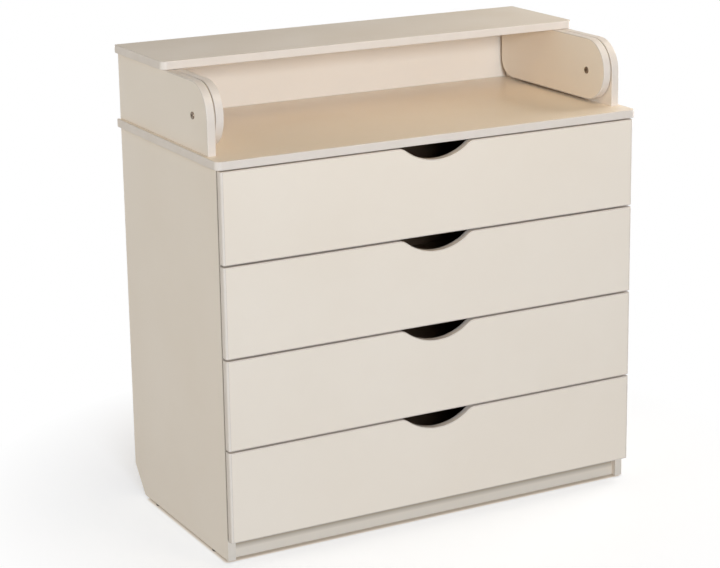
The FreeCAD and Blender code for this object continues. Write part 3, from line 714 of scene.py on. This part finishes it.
mouldedSkin = {
    "clouds": 120.0, "grains": 2000.0, "speckle": 0.25, "rubScale": 150.0, "rubPatches": 60.0, "wear": 0.5,
    "pores": 1900.0, "ripple": 700.0, "gloss": 0.4, "bump": (0.12, 0.0002),
}
nylon = makeFinish("nylon", rubbedSkin, {
    **mouldedSkin, "colour": (0.74, 0.71, 0.65), "shade": (0.70, 0.66, 0.60), "rubbed": (0.80, 0.78, 0.74),
    "rough": (0.38, 0.5), "scatter": 0.15})
glidePlastic = makeFinish("glidePlastic", rubbedSkin, {
    **mouldedSkin, "colour": (0.075, 0.062, 0.052), "shade": (0.055, 0.045, 0.038),
    "rubbed": (0.20, 0.18, 0.16), "rough": (0.42, 0.6)})

beech = makeFinish("beechDowel", dowelWood, {
    "colour": (0.62, 0.42, 0.25), "shade": (0.54, 0.35, 0.20), "pore": (0.36, 0.21, 0.11),
    "clouds": 60.0, "grains": 1500.0, "speckle": 0.3, "drawn": (1, 4, 4), "poreScale": 260.0,
    "poreShare": 0.5, "rough": (0.55, 0.75), "gloss": 0.3, "bump": (0.3, 0.0002)})

boardFinish = [creamFace, creamBand, rawChips, glueSeam]
boxFinish = [nutFace, nutBand, rawChips, glueSeam]
onFace, onBand, onBare, onSeam = range(4)      # their places in the two lists above
say("materials")

# boards

boardEdge = {
    "bandRound": 0.0015, "bandSteps": 3, "arris": 0.0004, "arrisSteps": 2, "seam": 0.00035, "flat": 0.9995,
}
camPocket = {"round": 0.0076, "inset": 0.034, "deep": 0.0121, "thinDeep": 0.0091, "over": 0.001}
pivotBore = {"round": 0.00505, "reach": 0.03}


def roundBand(board, wanted=sharp):
    roundEdges(board, wanted, boardEdge["bandRound"], boardEdge["bandSteps"])


def breakArris(board):
    roundEdges(board, sharp, boardEdge["arris"], boardEdge["arrisSteps"])


def cutPocket(board, mouth, axis, way, deep=camPocket["deep"]):
    # the round hole for a cam, from its mouth into the board; way is 1 or -1 along the axis
    centre = Vector(mouth)
    centre["XYZ".index(axis)] += way * (deep / 2 - camPocket["over"])
    drill(board, centre, camPocket["round"], deep + 2 * camPocket["over"], axis, sides=40)


def borePivot(cheek, low, high):
    middle = ((low.x + high.x) / 2, pivotLine.y, pivotLine.z)
    drill(cheek, middle, pivotBore["round"], pivotBore["reach"], "X")


def coverBoard(piece, thin, bare=None, finish=boardFinish):
    # laminate on the two faces across the thin axis, band on the rims, bare chipboard where bare(face)
    piece.data.materials.clear()
    for material in finish:
        piece.data.materials.append(material)
    for face in piece.data.polygons:
        if abs(part(face.normal, thin)) > boardEdge["flat"]:
            face.material_index = onFace
        else:
            face.material_index = onBare if bare and bare(face) else onBand


def scribeSeams(piece, width):
    # the glue line is a narrow ring round each laminated face
    activate(piece)
    bpy.ops.object.mode_set(mode="EDIT")
    bpy.ops.mesh.select_mode(type="FACE")
    bpy.ops.mesh.select_all(action="DESELECT")
    shape = bmesh.from_edit_mesh(piece.data)
    for face in shape.faces:
        face.select_set(face.material_index == onFace)
    bmesh.update_edit_mesh(piece.data)
    bpy.ops.mesh.inset(thickness=width, depth=0, use_boundary=True, use_even_offset=True)
    shape = bmesh.from_edit_mesh(piece.data)
    for face in shape.faces:
        if face.material_index == onFace and not face.select:
            face.material_index = onSeam
    bmesh.update_edit_mesh(piece.data)
    bpy.ops.object.mode_set(mode="OBJECT")


def finishBoard(piece, thin, bare=None):
    coverBoard(piece, thin, bare)
    scribeSeams(piece, boardEdge["seam"])
    smooth(piece)


boardOnTop = {"frontRound": 0.012, "frontSteps": 10, "backRound": 0.003, "backSteps": 4}


def makeBoardOnTop(name, node, s):
    # the changing surface and the lid: corners rounded in plan, band all round
    low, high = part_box(node)
    board = addBlock(name, low, high)
    roundEdges(board, edgesAlong("Z", y=low.y), s["frontRound"], s["frontSteps"])
    roundEdges(board, edgesAlong("Z", y=high.y), s["backRound"], s["backSteps"])
    roundBand(board)
    finishBoard(board, "Z")
    # painted warm bounce light on the faces of the boards around the niche
    board.data.materials[onFace] = bounceLitFace
    if node == "lid_board":      # its upper side has a darker copy of the laminate: painted shade on the lid's top
        board.data.materials.append(shadedLidFace)
        for face in board.data.polygons:
            if face.material_index == onFace and looks(face, "Z", way=1):
                face.material_index = len(boardFinish)
    standFor(board, node)


frontShape = {
    "endRound": 0.004, "endSteps": 6, "cutHalfWidth": 0.082, "cutDepth": 0.028, "cutEndRound": 0.025,
    "cutSteps": 22, "cutEndSteps": 6,
    "bumperInset": 0.008, "bumperIn": 0.020, "bumperRadius": 0.004, "bumperHeight": 0.0028,
    "bumperRim": 0.0008,
}


def cutOutline(top, s):
    # the finger cut-out along a front's upper edge, left to right, as (x, z)
    mainRound = (s["cutHalfWidth"] ** 2 + s["cutDepth"] ** 2) / (2 * s["cutDepth"]) - s["cutEndRound"]
    centre = top - s["cutDepth"] + mainRound
    reach = math.asin(s["cutHalfWidth"] / (mainRound + s["cutEndRound"]))
    points = []
    for step in range(s["cutEndSteps"]):
        angle = reach * step / s["cutEndSteps"]
        x = -s["cutHalfWidth"] + s["cutEndRound"] * math.sin(angle)
        points.append((x, top - s["cutEndRound"] * (1 - math.cos(angle))))
    for step in range(s["cutSteps"] + 1):
        angle = reach * (2 * step / s["cutSteps"] - 1)
        points.append((mainRound * math.sin(angle), centre - mainRound * math.cos(angle)))
    right = [(-x, z) for x, z in reversed(points[:s["cutEndSteps"]])]
    return points + right


def makeFront(number, s):
    node = "drawer_%d_front" % number
    low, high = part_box(node)
    outline = [(low.x, high.z)] + cutOutline(high.z, s) + [(high.x, high.z)]
    deselectAll()
    bpy.ops.mesh.primitive_grid_add(
        x_subdivisions=len(outline) - 1, y_subdivisions=1, size=1, location=(0, low.y, 0),
        rotation=(math.pi / 2, 0, 0))
    front = settle("drawer%dFront" % number)
    columns = {}
    for vert in front.data.vertices:
        columns.setdefault(round(vert.co.x, 5), []).append(vert)
    for (x, z), key in zip(outline, sorted(columns)):
        foot, head = sorted(columns[key], key=lambda vert: vert.co.z)
        foot.co = (x, low.y, low.z)
        head.co = (x, low.y, z)
    applyModifier(front, "SOLIDIFY", thickness=high.y - low.y, offset=-1.0)
    roundEdges(front, edgesAlong("Z", onlySharp=True, y=low.y), s["endRound"], s["endSteps"])
    roundBand(front)
    finishBoard(front, "Y")
    standFor(front, node)

    bumpers = []
    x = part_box("right_side")[1].x - s["bumperInset"]
    tip = high.y + s["bumperHeight"]
    for sign in bothSides.values():
        for z in (low.z + s["bumperIn"], high.z - s["bumperIn"]):
            bumper = addRod("bumper", (sign * x, (high.y + tip) / 2, z), s["bumperRadius"],
                            s["bumperHeight"], "Y", sides=20)
            roundRim(bumper, "Y", tip, s["bumperRim"], steps=3)
            bumper.data.materials.append(nylon)
            bumpers.append(bumper)
    finishTrim("drawer%dBumpers" % number, bumpers, "drawer_%d" % number)


sidePanel = {"cutDeep": 0.046, "cutHigh": 0.054, "camFront": 0.060, "camBack": 0.0732, "frontArris": 0.0006}


def makeSidePanel(side, sign, s):
    node = side + "_side"
    low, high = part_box(node)
    panel = addBlock(side + "Side", low, high)
    activate(panel)
    bpy.ops.object.mode_set(mode="EDIT")
    bpy.ops.mesh.select_all(action="SELECT")
    bpy.ops.mesh.bisect(      # the corner off for a skirting board
        plane_co=(0, high.y, low.z + s["cutHigh"]), plane_no=(0, s["cutHigh"], -s["cutDeep"]),
        use_fill=True, clear_outer=True)
    bpy.ops.object.mode_set(mode="OBJECT")
    roundEdges(panel, edgesAlong("Z", y=low.y), s["frontArris"], boardEdge["bandSteps"])
    breakArris(panel)
    inside = low.x if sign > 0 else high.x
    for y in (low.y + s["camFront"], high.y - s["camBack"]):
        cutPocket(panel, (inside, y, high.z - camPocket["inset"]), "X", sign)
    finishBoard(panel, "X", lambda face: looks(face, "Y", way=1) or looks(face, "Z", way=-1))
    # painted shade on the panel's front edge, darkest in the gap behind the fronts
    panel.data.materials[onBand] = shadedPanelBand
    standFor(panel, node)


cheekShape = {"frontRound": 0.062, "frontSteps": 20}


def makeOuterCheek(side, s):
    node = "outer_cheek_" + side
    low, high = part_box(node)
    cheek = addBlock("outerCheek" + side.capitalize(), low, high)
    roundEdges(cheek, edgesAlong("X", y=low.y, z=high.z), s["frontRound"], s["frontSteps"])
    # its foot and its rear end butt against other boards and keep sharp edges
    roundBand(cheek, lambda edge: sharp(edge) and not at(edge, "Z", low.z) and not at(edge, "Y", high.y))
    borePivot(cheek, low, high)
    finishBoard(cheek, "X")
    standFor(cheek, node)


lidCheek = {
    "relief": 0.0006, "backRound": 0.040, "backSteps": 14, "noseFlat": 0.00002, "noseSteps": 24,
    "seatFront": 0.004, "seatBack": 0.002, "seatArris": 0.0002,
}


def makeLidCheek(side, s):
    node = "lid_cheek_" + side
    low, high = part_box(node)
    freeTop = high.z - s["relief"]
    cheek = addBlock("lidCheek" + side.capitalize(), low, (high.x, high.y, freeTop))
    roundEdges(cheek, edgesAlong("X", y=high.y, z=low.z), s["backRound"], s["backSteps"])
    roundEdges(cheek, edgesAlong("X", y=low.y), (freeTop - low.z) / 2 - s["noseFlat"], s["noseSteps"])
    roundBand(cheek)
    borePivot(cheek, low, high)
    finishBoard(cheek, "X")
    # painted warm bounce light on the cheek's faces
    cheek.data.materials[onFace] = bounceLitFace
    # the seat fills the gap up to the lid, behind the lid's front edge
    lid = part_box("lid_board")[0]
    seat = addBlock("seat", (low.x, lid.y + s["seatFront"], freeTop - boardEdge["bandRound"]),
                    (high.x, high.y - s["seatBack"], high.z))
    roundEdges(seat, sharp, s["seatArris"], steps=1)
    coverBoard(seat, "Z")
    smooth(seat)
    standFor(joinPieces(cheek.name, [cheek, seat]), node)


def makeUpperBack():
    low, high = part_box("upper_back_board")
    board = addBlock("upperBackBoard", low, high)
    roundBand(board, edgesAlong("X", z=high.z))
    breakArris(board)
    finishBoard(board, "Y")
    standFor(board, "upper_back_board")


def makePlinth(name, node):
    board = addBlock(name, *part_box(node))
    breakArris(board)
    finishBoard(board, "Y", lambda face: looks(face, "Z", way=-1))
    # painted shade: darker laminate with a painted shadow along the top, under the lowest front
    board.data.materials[onFace] = shadedPlinthFace
    standFor(board, node)


sheetShape = {"arris": 0.0003, "flat": 0.9}


def makeSheet(name, node, axis, way, finish, s):
    # hardboard: finished on the side that looks one way along the axis, brown on the rest
    sheet = addBlock(name, *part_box(node))
    roundEdges(sheet, sharp, s["arris"], steps=1)
    for material in (finish, brownSheet):
        sheet.data.materials.append(material)
    for face in sheet.data.polygons:
        face.material_index = 0 if looks(face, axis, way, s["flat"]) else 1
    smooth(sheet)
    standFor(sheet, node)


nailing = {
    "headRadius": 0.0021, "headHeight": 0.0009, "headRim": 0.0004, "alongEdge": 7, "inset": 0.05,
    "lowEdge": 0.008, "highEdge": 0.030,
}


def nailBackSheet(s):
    low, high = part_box("back_sheet")
    top = high.y + s["headHeight"]
    nails = []
    for z in (low.z + s["lowEdge"], high.z - s["highEdge"]):
        for count in range(s["alongEdge"]):
            x = (low.x + s["inset"]) * (1 - 2 * count / (s["alongEdge"] - 1))
            nail = addRod("nail", (x, (high.y + top) / 2, z), s["headRadius"], s["headHeight"], "Y", sides=16)
            roundRim(nail, "Y", top, s["headRim"], steps=2)
            nail.data.materials.append(screwZinc)
            nails.append(nail)
    finishTrim("backNails", nails, "cabinet")


makeBoardOnTop("topBoard", "top_board", boardOnTop)
makeBoardOnTop("lidBoard", "lid_board", boardOnTop)
for number in drawerNumbers:
    makeFront(number, frontShape)
    makeSheet("drawer%dBottom" % number, "drawer_%d_bottom" % number, "Z", 1, nutSheet, sheetShape)
for side, sign in bothSides.items():
    makeSidePanel(side, sign, sidePanel)
    makeOuterCheek(side, cheekShape)
    makeLidCheek(side, lidCheek)
makeUpperBack()
makePlinth("plinthFront", "plinth_front")
makePlinth("plinthRear", "plinth_rear")
makeSheet("backSheet", "back_sheet", "Y", -1, paleSheet, sheetShape)
nailBackSheet(nailing)
say("boards")

# drawer boxes and the boards inside the carcass

boxShape = {"camHeights": (0.032, 0.086)}
innerBoards = {"bottomRows": (0.060, 0.3660), "railDown": 0.020}


def makeBoxBoards(s):
    # the first drawer's left side and back are built, the other boxes are copies of them
    low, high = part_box("drawer_1_side_left")
    side = addBlock("sideMaster", low, high)
    roundBand(side, edgesAlong("Y", z=high.z))
    breakArris(side)
    for rise in s["camHeights"]:
        mouth = (high.x, low.y + camPocket["inset"], low.z + rise)
        cutPocket(side, mouth, "X", -1, camPocket["thinDeep"])
    bareRims = (("Y", 1), ("Y", -1), ("Z", -1))
    coverBoard(side, "X", lambda face: any(looks(face, *rim) for rim in bareRims), boxFinish)
    scribeSeams(side, boardEdge["seam"])
    backLow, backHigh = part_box("drawer_1_back")
    back = addBlock("backMaster", backLow, backHigh)
    roundBand(back, edgesAlong("X", z=backHigh.z))
    breakArris(back)
    coverBoard(back, "Y", lambda face: looks(face, "Z", way=-1), boxFinish)
    scribeSeams(back, boardEdge["seam"])
    for number in drawerNumbers:
        drop = moved(0, 0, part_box("drawer_%d_back" % number)[0].z - backLow.z)
        for name, placing in (("left", drop), ("right", mirrorX @ drop)):
            board = copyPiece(side, "drawer%dSide%s" % (number, name.capitalize()), placing)
            smooth(board)
            standFor(board, "drawer_%d_side_%s" % (number, name))
        board = copyPiece(back, "drawer%dBack" % number, drop)
        smooth(board)
        standFor(board, "drawer_%d_back" % number)
    bpy.data.objects.remove(side)
    bpy.data.objects.remove(back)


def makeInnerBoards(s):
    low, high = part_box("bottom_board")
    board = addBlock("bottomBoard", low, high)
    breakArris(board)
    railLow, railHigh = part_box("rear_rail")
    rail = addBlock("rearRail", railLow, railHigh)
    breakArris(rail)
    for sign in bothSides.values():
        x = sign * (high.x - camPocket["inset"])
        for row in s["bottomRows"]:
            cutPocket(board, (x, low.y + row, low.z), "Z", way=1)
        x = sign * (railHigh.x - camPocket["inset"])
        cutPocket(rail, (x, railLow.y, railHigh.z - s["railDown"]), "Y", way=1)
    for piece, thin, node in ((board, "Z", "bottom_board"), (rail, "Y", "rear_rail")):
        finishBoard(piece, thin)
        standFor(piece, node)


makeBoxBoards(boxShape)
makeInnerBoards(innerBoards)
say("drawer boxes")

# ball bearing slides

slideSize = {
    "start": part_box("slide_1_middle")[0].y, "length": 0.350, "screws": (0.037, 0.165, 0.293),
    "screwHole": 0.0018, "middleGap": 0.0024, "arris": 0.00015, "cutter": 0.006,
}
outerMember = {
    "halfHigh": 0.0225, "flange": 0.0095, "lip": 0.0020, "steel": 0.0012, "bend": 0.0025, "lipBend": 0.0011,
    "screws": slideSize["screws"], "holes": (0.100, 0.230), "holeRound": 0.0030,
    "slots": (0.068, 0.132, 0.262), "slotRound": 0.0022, "slotHalf": 0.0035,
}
middleMember = {
    "halfHigh": 0.0176, "flange": 0.0082, "lip": 0.0014, "steel": 0.0012, "bend": 0.0022, "lipBend": 0.0010,
    "screws": (), "holes": (0.052, 0.298), "holeRound": 0.0035,
    "slots": (0.120, 0.175, 0.230), "slotRound": 0.0030, "slotHalf": 0.0080,
}
innerMember = {
    "halfHigh": 0.0128, "flange": 0.0080, "lip": 0.0012, "steel": 0.0012, "bend": 0.0022, "lipBend": 0.0010,
    "screws": slideSize["screws"], "holes": (0.015,), "holeRound": 0.0022,
    "slots": (0.070, 0.200, 0.330), "slotRound": 0.0022, "slotHalf": 0.0035,
}
cageStrip = {
    "lip": 0.0, "steel": 0.0005, "bend": 0.0010, "length": 0.110, "arris": 0.0001, "balls": 7, "pitch": 0.015,
}
outerCage = {
    **cageStrip, "halfHigh": 0.0197, "flange": 0.0068, "web": 0.0015,
    "ballRow": 0.01945, "ballX": 0.0065, "ball": 0.00175,
}
innerCage = {
    **cageStrip, "halfHigh": 0.0149, "flange": 0.0052, "web": 0.0040,
    "ballRow": 0.0146, "ballX": 0.0075, "ball": 0.0017,
}
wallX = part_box("left_side")[1].x
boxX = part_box("drawer_1_side_left")[0].x


def makeChannel(name, s, length):
    # a pressed channel along Y: its web stands on x = 0 and its flanges point to +X
    deselectAll()
    bpy.ops.mesh.primitive_plane_add(size=1, location=(0, length / 2, 0), rotation=(0, math.pi / 2, 0))
    bpy.context.object.scale = (2 * s["halfHigh"], length, 1)
    channel = settle(name)
    selectEdges(channel, edgesAlong("Y"))
    bpy.ops.mesh.extrude_region_move(TRANSFORM_OT_translate={"value": (s["flange"], 0, 0)})
    bpy.ops.object.mode_set(mode="OBJECT")
    if s["lip"]:
        for sign in bothSides.values():
            selectEdges(channel, edgesAlong("Y", x=s["flange"], z=sign * s["halfHigh"]))
            bpy.ops.mesh.extrude_region_move(TRANSFORM_OT_translate={"value": (0, 0, -sign * s["lip"])})
            bpy.ops.object.mode_set(mode="OBJECT")
        roundEdges(channel, edgesAlong("Y", onlySharp=True, x=s["flange"]), s["lipBend"], steps=3)
    roundEdges(channel, edgesAlong("Y", onlySharp=True, x=0.0), s["bend"], steps=4)
    applyModifier(channel, "SOLIDIFY", thickness=s["steel"], offset=1.0, use_even_offset=True)
    return channel


def addOblong(y, radius, half, length):
    # a rod along X drawn out along Y
    oblong = addRod("slot", (0, y, 0), radius, length, "X", sides=26)
    for vert in oblong.data.vertices:
        vert.co.y += half if vert.co.y > y else -half
    return oblong


def makeMember(name, s):
    member = makeChannel(name, s, slideSize["length"])
    reach = slideSize["cutter"]
    cutters = [addRod("hole", (0, y, 0), slideSize["screwHole"], reach, "X", sides=24) for y in s["screws"]]
    cutters += [addRod("hole", (0, y, 0), s["holeRound"], reach, "X", sides=28) for y in s["holes"]]
    cutters += [addOblong(y, s["slotRound"], s["slotHalf"], reach) for y in s["slots"]]
    cutWith(member, joinPieces("cutters", cutters))
    roundEdges(member, sharp, slideSize["arris"], steps=1)
    member.data.materials.append(slideZinc)
    return member


def makeCage(name, s):
    # a thin strip that keeps a row of balls along each edge
    strip = makeChannel(name, s, s["length"])
    roundEdges(strip, sharp, s["arris"], steps=1)
    strip.data.materials.append(slideZinc)
    parts = [strip]
    for sign in bothSides.values():
        for count in range(s["balls"]):
            y = s["length"] / 2 + (count - (s["balls"] - 1) / 2) * s["pitch"]
            centre = (s["ballX"] - s["web"], y, sign * s["ballRow"])
            deselectAll()
            bpy.ops.mesh.primitive_uv_sphere_add(segments=14, ring_count=9, radius=s["ball"], location=centre)
            ball = settle("ball")
            ball.data.materials.append(ballSteel)
            parts.append(ball)
    return joinPieces(name, parts)


screwShape = {
    "head": 0.0034, "headHigh": 0.0009, "headRim": 0.0006, "shank": 0.0016, "length": 0.009, "tip": 0.0010,
    "cross": 0.0040, "blade": 0.0008, "deep": 0.0005,
}


def makeScrew(s):
    # a pan head on x = 0 with its shank to +X
    head = addRod("screwMaster", (-s["headHigh"] / 2, 0, 0), s["head"], s["headHigh"], "X", sides=28)
    roundRim(head, "X", -s["headHigh"], s["headRim"], steps=3)
    for width, height in ((s["cross"], s["blade"]), (s["blade"], s["cross"])):
        cutWith(head, addBlock("recess", (-2 * s["headHigh"], -width / 2, -height / 2),
                               (s["deep"] - s["headHigh"], width / 2, height / 2)))
    shank = addRod("shank", (s["length"] / 2, 0, 0), s["shank"], s["length"], "X", sides=16)
    roundRim(shank, "X", s["length"], s["tip"], steps=2)
    screw = joinPieces("screwMaster", [head, shank])
    screw.data.materials.append(screwZinc)
    return screw


def makeSlides():
    outer = makeMember("outerMaster", outerMember)
    middle = makeMember("middleMaster", middleMember)
    inner = makeMember("innerMaster", innerMember)
    outerBalls = makeCage("outerCageMaster", outerCage)
    innerBalls = makeCage("innerCageMaster", innerCage)
    screw = makeScrew(screwShape)
    rails, wallScrews, wallCages = [], [], []
    for number in drawerNumbers:
        middles, cages, inners, boxScrews = [], [], [], []
        low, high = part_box("drawer_%d_rails" % number)
        height = (low.z + high.z) / 2
        start = slideSize["start"]
        for flip in flips:
            for pieces, master, out in (
                    (rails, outer, 0), (wallCages, outerBalls, outerCage["web"]),
                    (middles, middle, slideSize["middleGap"]), (cages, innerBalls, innerCage["web"])):
                pieces.append(copyPiece(master, "copy", flip @ moved(wallX + out, start, height)))
            inners.append(copyPiece(inner, "copy", flip @ moved(boxX, start, height) @ mirrorX))
            for y in slideSize["screws"]:
                onWall = flip @ moved(wallX + outerMember["steel"], start + y, height) @ mirrorX
                wallScrews.append(copyPiece(screw, "screw", onWall))
                onBox = flip @ moved(boxX - innerMember["steel"], start + y, height)
                boxScrews.append(copyPiece(screw, "screw", onBox))
        finishSet("slide%dMiddle" % number, middles, "slide_%d_middle" % number)
        finishSet("drawer%dRails" % number, inners, "drawer_%d_rails" % number)
        finishSet("drawer%dScrews" % number, boxScrews, "drawer_%d_screws" % number)
        finishTrim("slide%dCages" % number, cages, bodyOf["slide_%d_middle" % number])
    finishSet("cabinetRails", rails, "cabinet_rails")
    finishSet("cabinetRailScrews", wallScrews, "cabinet_rail_screws")
    finishTrim("cabinetCages", wallCages, "cabinet")
    for master in (outer, middle, inner, outerBalls, innerBalls, screw):
        bpy.data.objects.remove(master)


makeSlides()
say("slides")

# cams, pivots and glides

camShape = {
    "round": 0.0075, "rim": 0.0004, "thick": 0.012, "thin": 0.009,
    "cross": 0.009, "blade": 0.0016, "deep": 0.0015, "arrow": 0.0016, "arrowOut": 0.0036, "arrowDeep": 0.0008,
    "bolt": 0.0034, "boltRim": 0.0008, "boltLength": 0.0365, "boltBack": 0.010,
}


def makeCam(name, thick, s):
    # its face on z = 0 looks down, and the cam's axis goes up into the board
    cam = addRod(name, (0, 0, thick / 2), s["round"], thick, "Z", sides=40)
    roundRim(cam, "Z", 0.0, s["rim"], steps=2)
    for width, height in ((s["cross"], s["blade"]), (s["blade"], s["cross"])):
        cutWith(cam, addBlock("recess", (-width / 2, -height / 2, -s["deep"]),
                              (width / 2, height / 2, s["deep"])))
    drill(cam, (s["arrowOut"], s["arrowOut"], 0), s["arrow"], s["arrowDeep"], "Z", sides=3)
    cam.data.materials.append(castZinc)
    return cam


def makeCamBolt(s):
    # along +X, from its thread to the cam's rim; the joint is at x = 0
    middle = s["boltLength"] / 2 - s["boltBack"]
    bolt = addRod("boltMaster", (middle, 0, 0), s["bolt"], s["boltLength"], "X", sides=20)
    roundEdges(bolt, sharp, s["boltRim"], steps=2)
    bolt.data.materials.append(castZinc)
    return bolt


def fitCam(cam, face, bolt, joint):
    return [copyPiece(cam, "cam", face), copyPiece(bolt, "bolt", joint)]


def makeCams(s):
    thick = makeCam("thickCam", s["thick"], s)
    thin = makeCam("thinCam", s["thin"], s)
    bolt = makeCamBolt(s)
    inset = camPocket["inset"]
    camX = mirrorX @ Matrix.Rotation(math.pi / 2, 4, "Y")       # the cam's axis along -X
    camY = Matrix.Rotation(-math.pi / 2, 4, "X")                # and along +Y
    boltY = Matrix.Rotation(math.pi / 2, 4, "Z")
    boltDown = Matrix.Rotation(math.pi / 2, 4, "Y")
    for number in drawerNumbers:
        low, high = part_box("drawer_%d_side_left" % number)
        pieces = []
        for flip in flips:
            for rise in boxShape["camHeights"]:
                z = low.z + rise
                pieces += fitCam(thin, flip @ moved(high.x, low.y + inset, z) @ camX,
                                 bolt, flip @ moved((low.x + high.x) / 2, low.y, z) @ boltY)
        finishSet("drawer%dCams" % number, pieces, "drawer_%d_cams" % number)
    bottomLow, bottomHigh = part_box("bottom_board")
    railLow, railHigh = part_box("rear_rail")
    sideLow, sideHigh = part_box("left_side")
    pieces = []
    for flip in flips:
        for row in innerBoards["bottomRows"]:
            y = bottomLow.y + row
            pieces += fitCam(thick, flip @ moved(bottomLow.x + inset, y, bottomLow.z),
                             bolt, flip @ moved(bottomLow.x, y, (bottomLow.z + bottomHigh.z) / 2))
        z = railHigh.z - innerBoards["railDown"]
        pieces += fitCam(thick, flip @ moved(railLow.x + inset, railLow.y, z) @ camY,
                         bolt, flip @ moved(railLow.x, (railLow.y + railHigh.y) / 2, z))
        for y in (sideLow.y + sidePanel["camFront"], sideHigh.y - sidePanel["camBack"]):
            pieces += fitCam(thick, flip @ moved(sideHigh.x, y, sideHigh.z - inset) @ camX,
                             bolt, flip @ moved((sideLow.x + sideHigh.x) / 2, y, sideHigh.z) @ boltDown)
    finishSet("carcassCams", pieces, "carcass_cams")
    for master in (thick, thin, bolt):
        bpy.data.objects.remove(master)


pivotShape = {
    "head": 0.007, "headHigh": 0.0016, "crown": 0.0010, "socket": 0.0025, "socketDeep": 0.0026,
    "sleeve": 0.005, "sleeveShort": 0.0002, "bolt": 0.003, "boltFrom": 0.002, "boltLength": 0.020,
    "play": 0.0003, "washer": 0.009, "washerThick": 0.0014, "washerBore": 0.0051, "washerRim": 0.0004,
    "borer": 0.004,
}


def makeHead(name, x, outward, s):
    # a low crowned head with a hexagon socket; outward is the way that its face looks
    y, z = pivotLine.y, pivotLine.z
    face = x + outward * s["headHigh"]
    head = addRod(name, ((x + face) / 2, y, z), s["head"], s["headHigh"], "X", sides=48)
    roundRim(head, "X", face, s["crown"], steps=4)
    drill(head, (face, y, z), s["socket"], 2 * s["socketDeep"], "X", sides=6)
    return head


def makePivots(s):
    y, z = pivotLine.y, pivotLine.z
    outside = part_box("outer_cheek_left")[0].x
    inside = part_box("lid_cheek_left")[1].x - s["play"]
    tubeStart = outside + s["socketDeep"]
    tubeEnd = inside - s["sleeveShort"]
    collar, tube = (addRod("tube", ((start + end) / 2, y, z), s["sleeve"], end - start, "X", sides=40)
                    for start, end in ((outside, tubeStart), (tubeStart, tubeEnd)))
    drill(collar, (outside, y, z), s["socket"], 2 * s["socketDeep"], "X", sides=6)
    sleeve = joinPieces("sleeveMaster", [makeHead("sleeveMaster", outside, -1, s), tube, collar])
    sleeve.data.materials.append(bronzedSteel)
    shankX = inside - s["boltFrom"] - s["boltLength"] / 2
    shank = addRod("shank", (shankX, y, z), s["bolt"], s["boltLength"], "X", sides=28)
    bolt = joinPieces("boltMaster", [makeHead("boltMaster", inside, 1, s), shank])
    bolt.data.materials.append(bronzedSteel)
    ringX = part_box("outer_cheek_left")[1].x + s["play"] + s["washerThick"] / 2
    ring = addRod("washerMaster", (ringX, y, z), s["washer"], s["washerThick"], "X", sides=48)
    drill(ring, (ringX, y, z), s["washerBore"], s["borer"], "X", sides=40)
    roundEdges(ring, sharp, s["washerRim"], steps=2)
    ring.data.materials.append(nylon)
    for name, master, node in (("pivotSleeves", sleeve, "pivot_sleeves"), ("pivotBolts", bolt, "pivot_bolts"),
                               ("pivotWashers", ring, "pivot_washers")):
        finishSet(name, [master, copyPiece(master, "twin", mirrorX)], node)


glideShape = {
    "pad": 0.008, "padHigh": 0.004, "foot": 0.0012, "recess": 0.0030, "recessDeep": 0.0008,
    "nail": 0.0012, "nailTop": 0.017,
    "nailHead": 0.0024, "nailFace": 0.0003, "nailHeadHigh": 0.0008, "nailRim": 0.0003,
}


def makeGlides(s):
    sideLow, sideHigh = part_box("left_side")
    x = (sideLow.x + sideHigh.x) / 2
    low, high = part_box("glides")
    pad = addRod("glideMaster", (0, 0, s["padHigh"] / 2), s["pad"], s["padHigh"], "Z", sides=40)
    roundRim(pad, "Z", 0.0, s["foot"], steps=4)
    drill(pad, (0, 0, 0), s["recess"], 2 * s["recessDeep"], "Z")
    pad.data.materials.append(glidePlastic)
    headZ = s["nailFace"] + s["nailHeadHigh"] / 2
    nailHead = addRod("nailHead", (0, 0, headZ), s["nailHead"], s["nailHeadHigh"], "Z", sides=24)
    roundRim(nailHead, "Z", s["nailFace"], s["nailRim"], steps=2)
    nailZ = (s["padHigh"] + s["nailTop"]) / 2
    nail = addRod("nail", (0, 0, nailZ), s["nail"], s["nailTop"] - s["padHigh"], "Z", sides=16)
    for metal in (nailHead, nail):
        metal.data.materials.append(screwZinc)
    master = joinPieces("glideMaster", [pad, nailHead, nail])
    places = (low.y + s["pad"], high.y - s["pad"])
    pieces = [copyPiece(master, "glide", flip @ moved(x, y, 0)) for flip in flips for y in places]
    bpy.data.objects.remove(master)
    finishSet("nailGlides", pieces, "glides")


makeCams(camShape)
makePivots(pivotShape)
makeGlides(glideShape)
say("fixings")

# finishes of the nodes of the frame that stay

kept = {
    "cream_board": creamFace, "drawer_board": nutFace, "back_hardboard": paleSheet,
    "drawer_hardboard": nutSheet, "slide_steel": slideZinc, "screw_steel": screwZinc, "cam_metal": castZinc,
    "dowel_wood": beech, "pivot_steel": bronzedSteel, "washer_nylon": nylon, "glide_plastic": glidePlastic,
}
for name, piece in nodes.items():
    piece.data.materials.clear()
    piece.data.materials.append(kept[slotOf[name]])
say("finishes on the kept nodes")
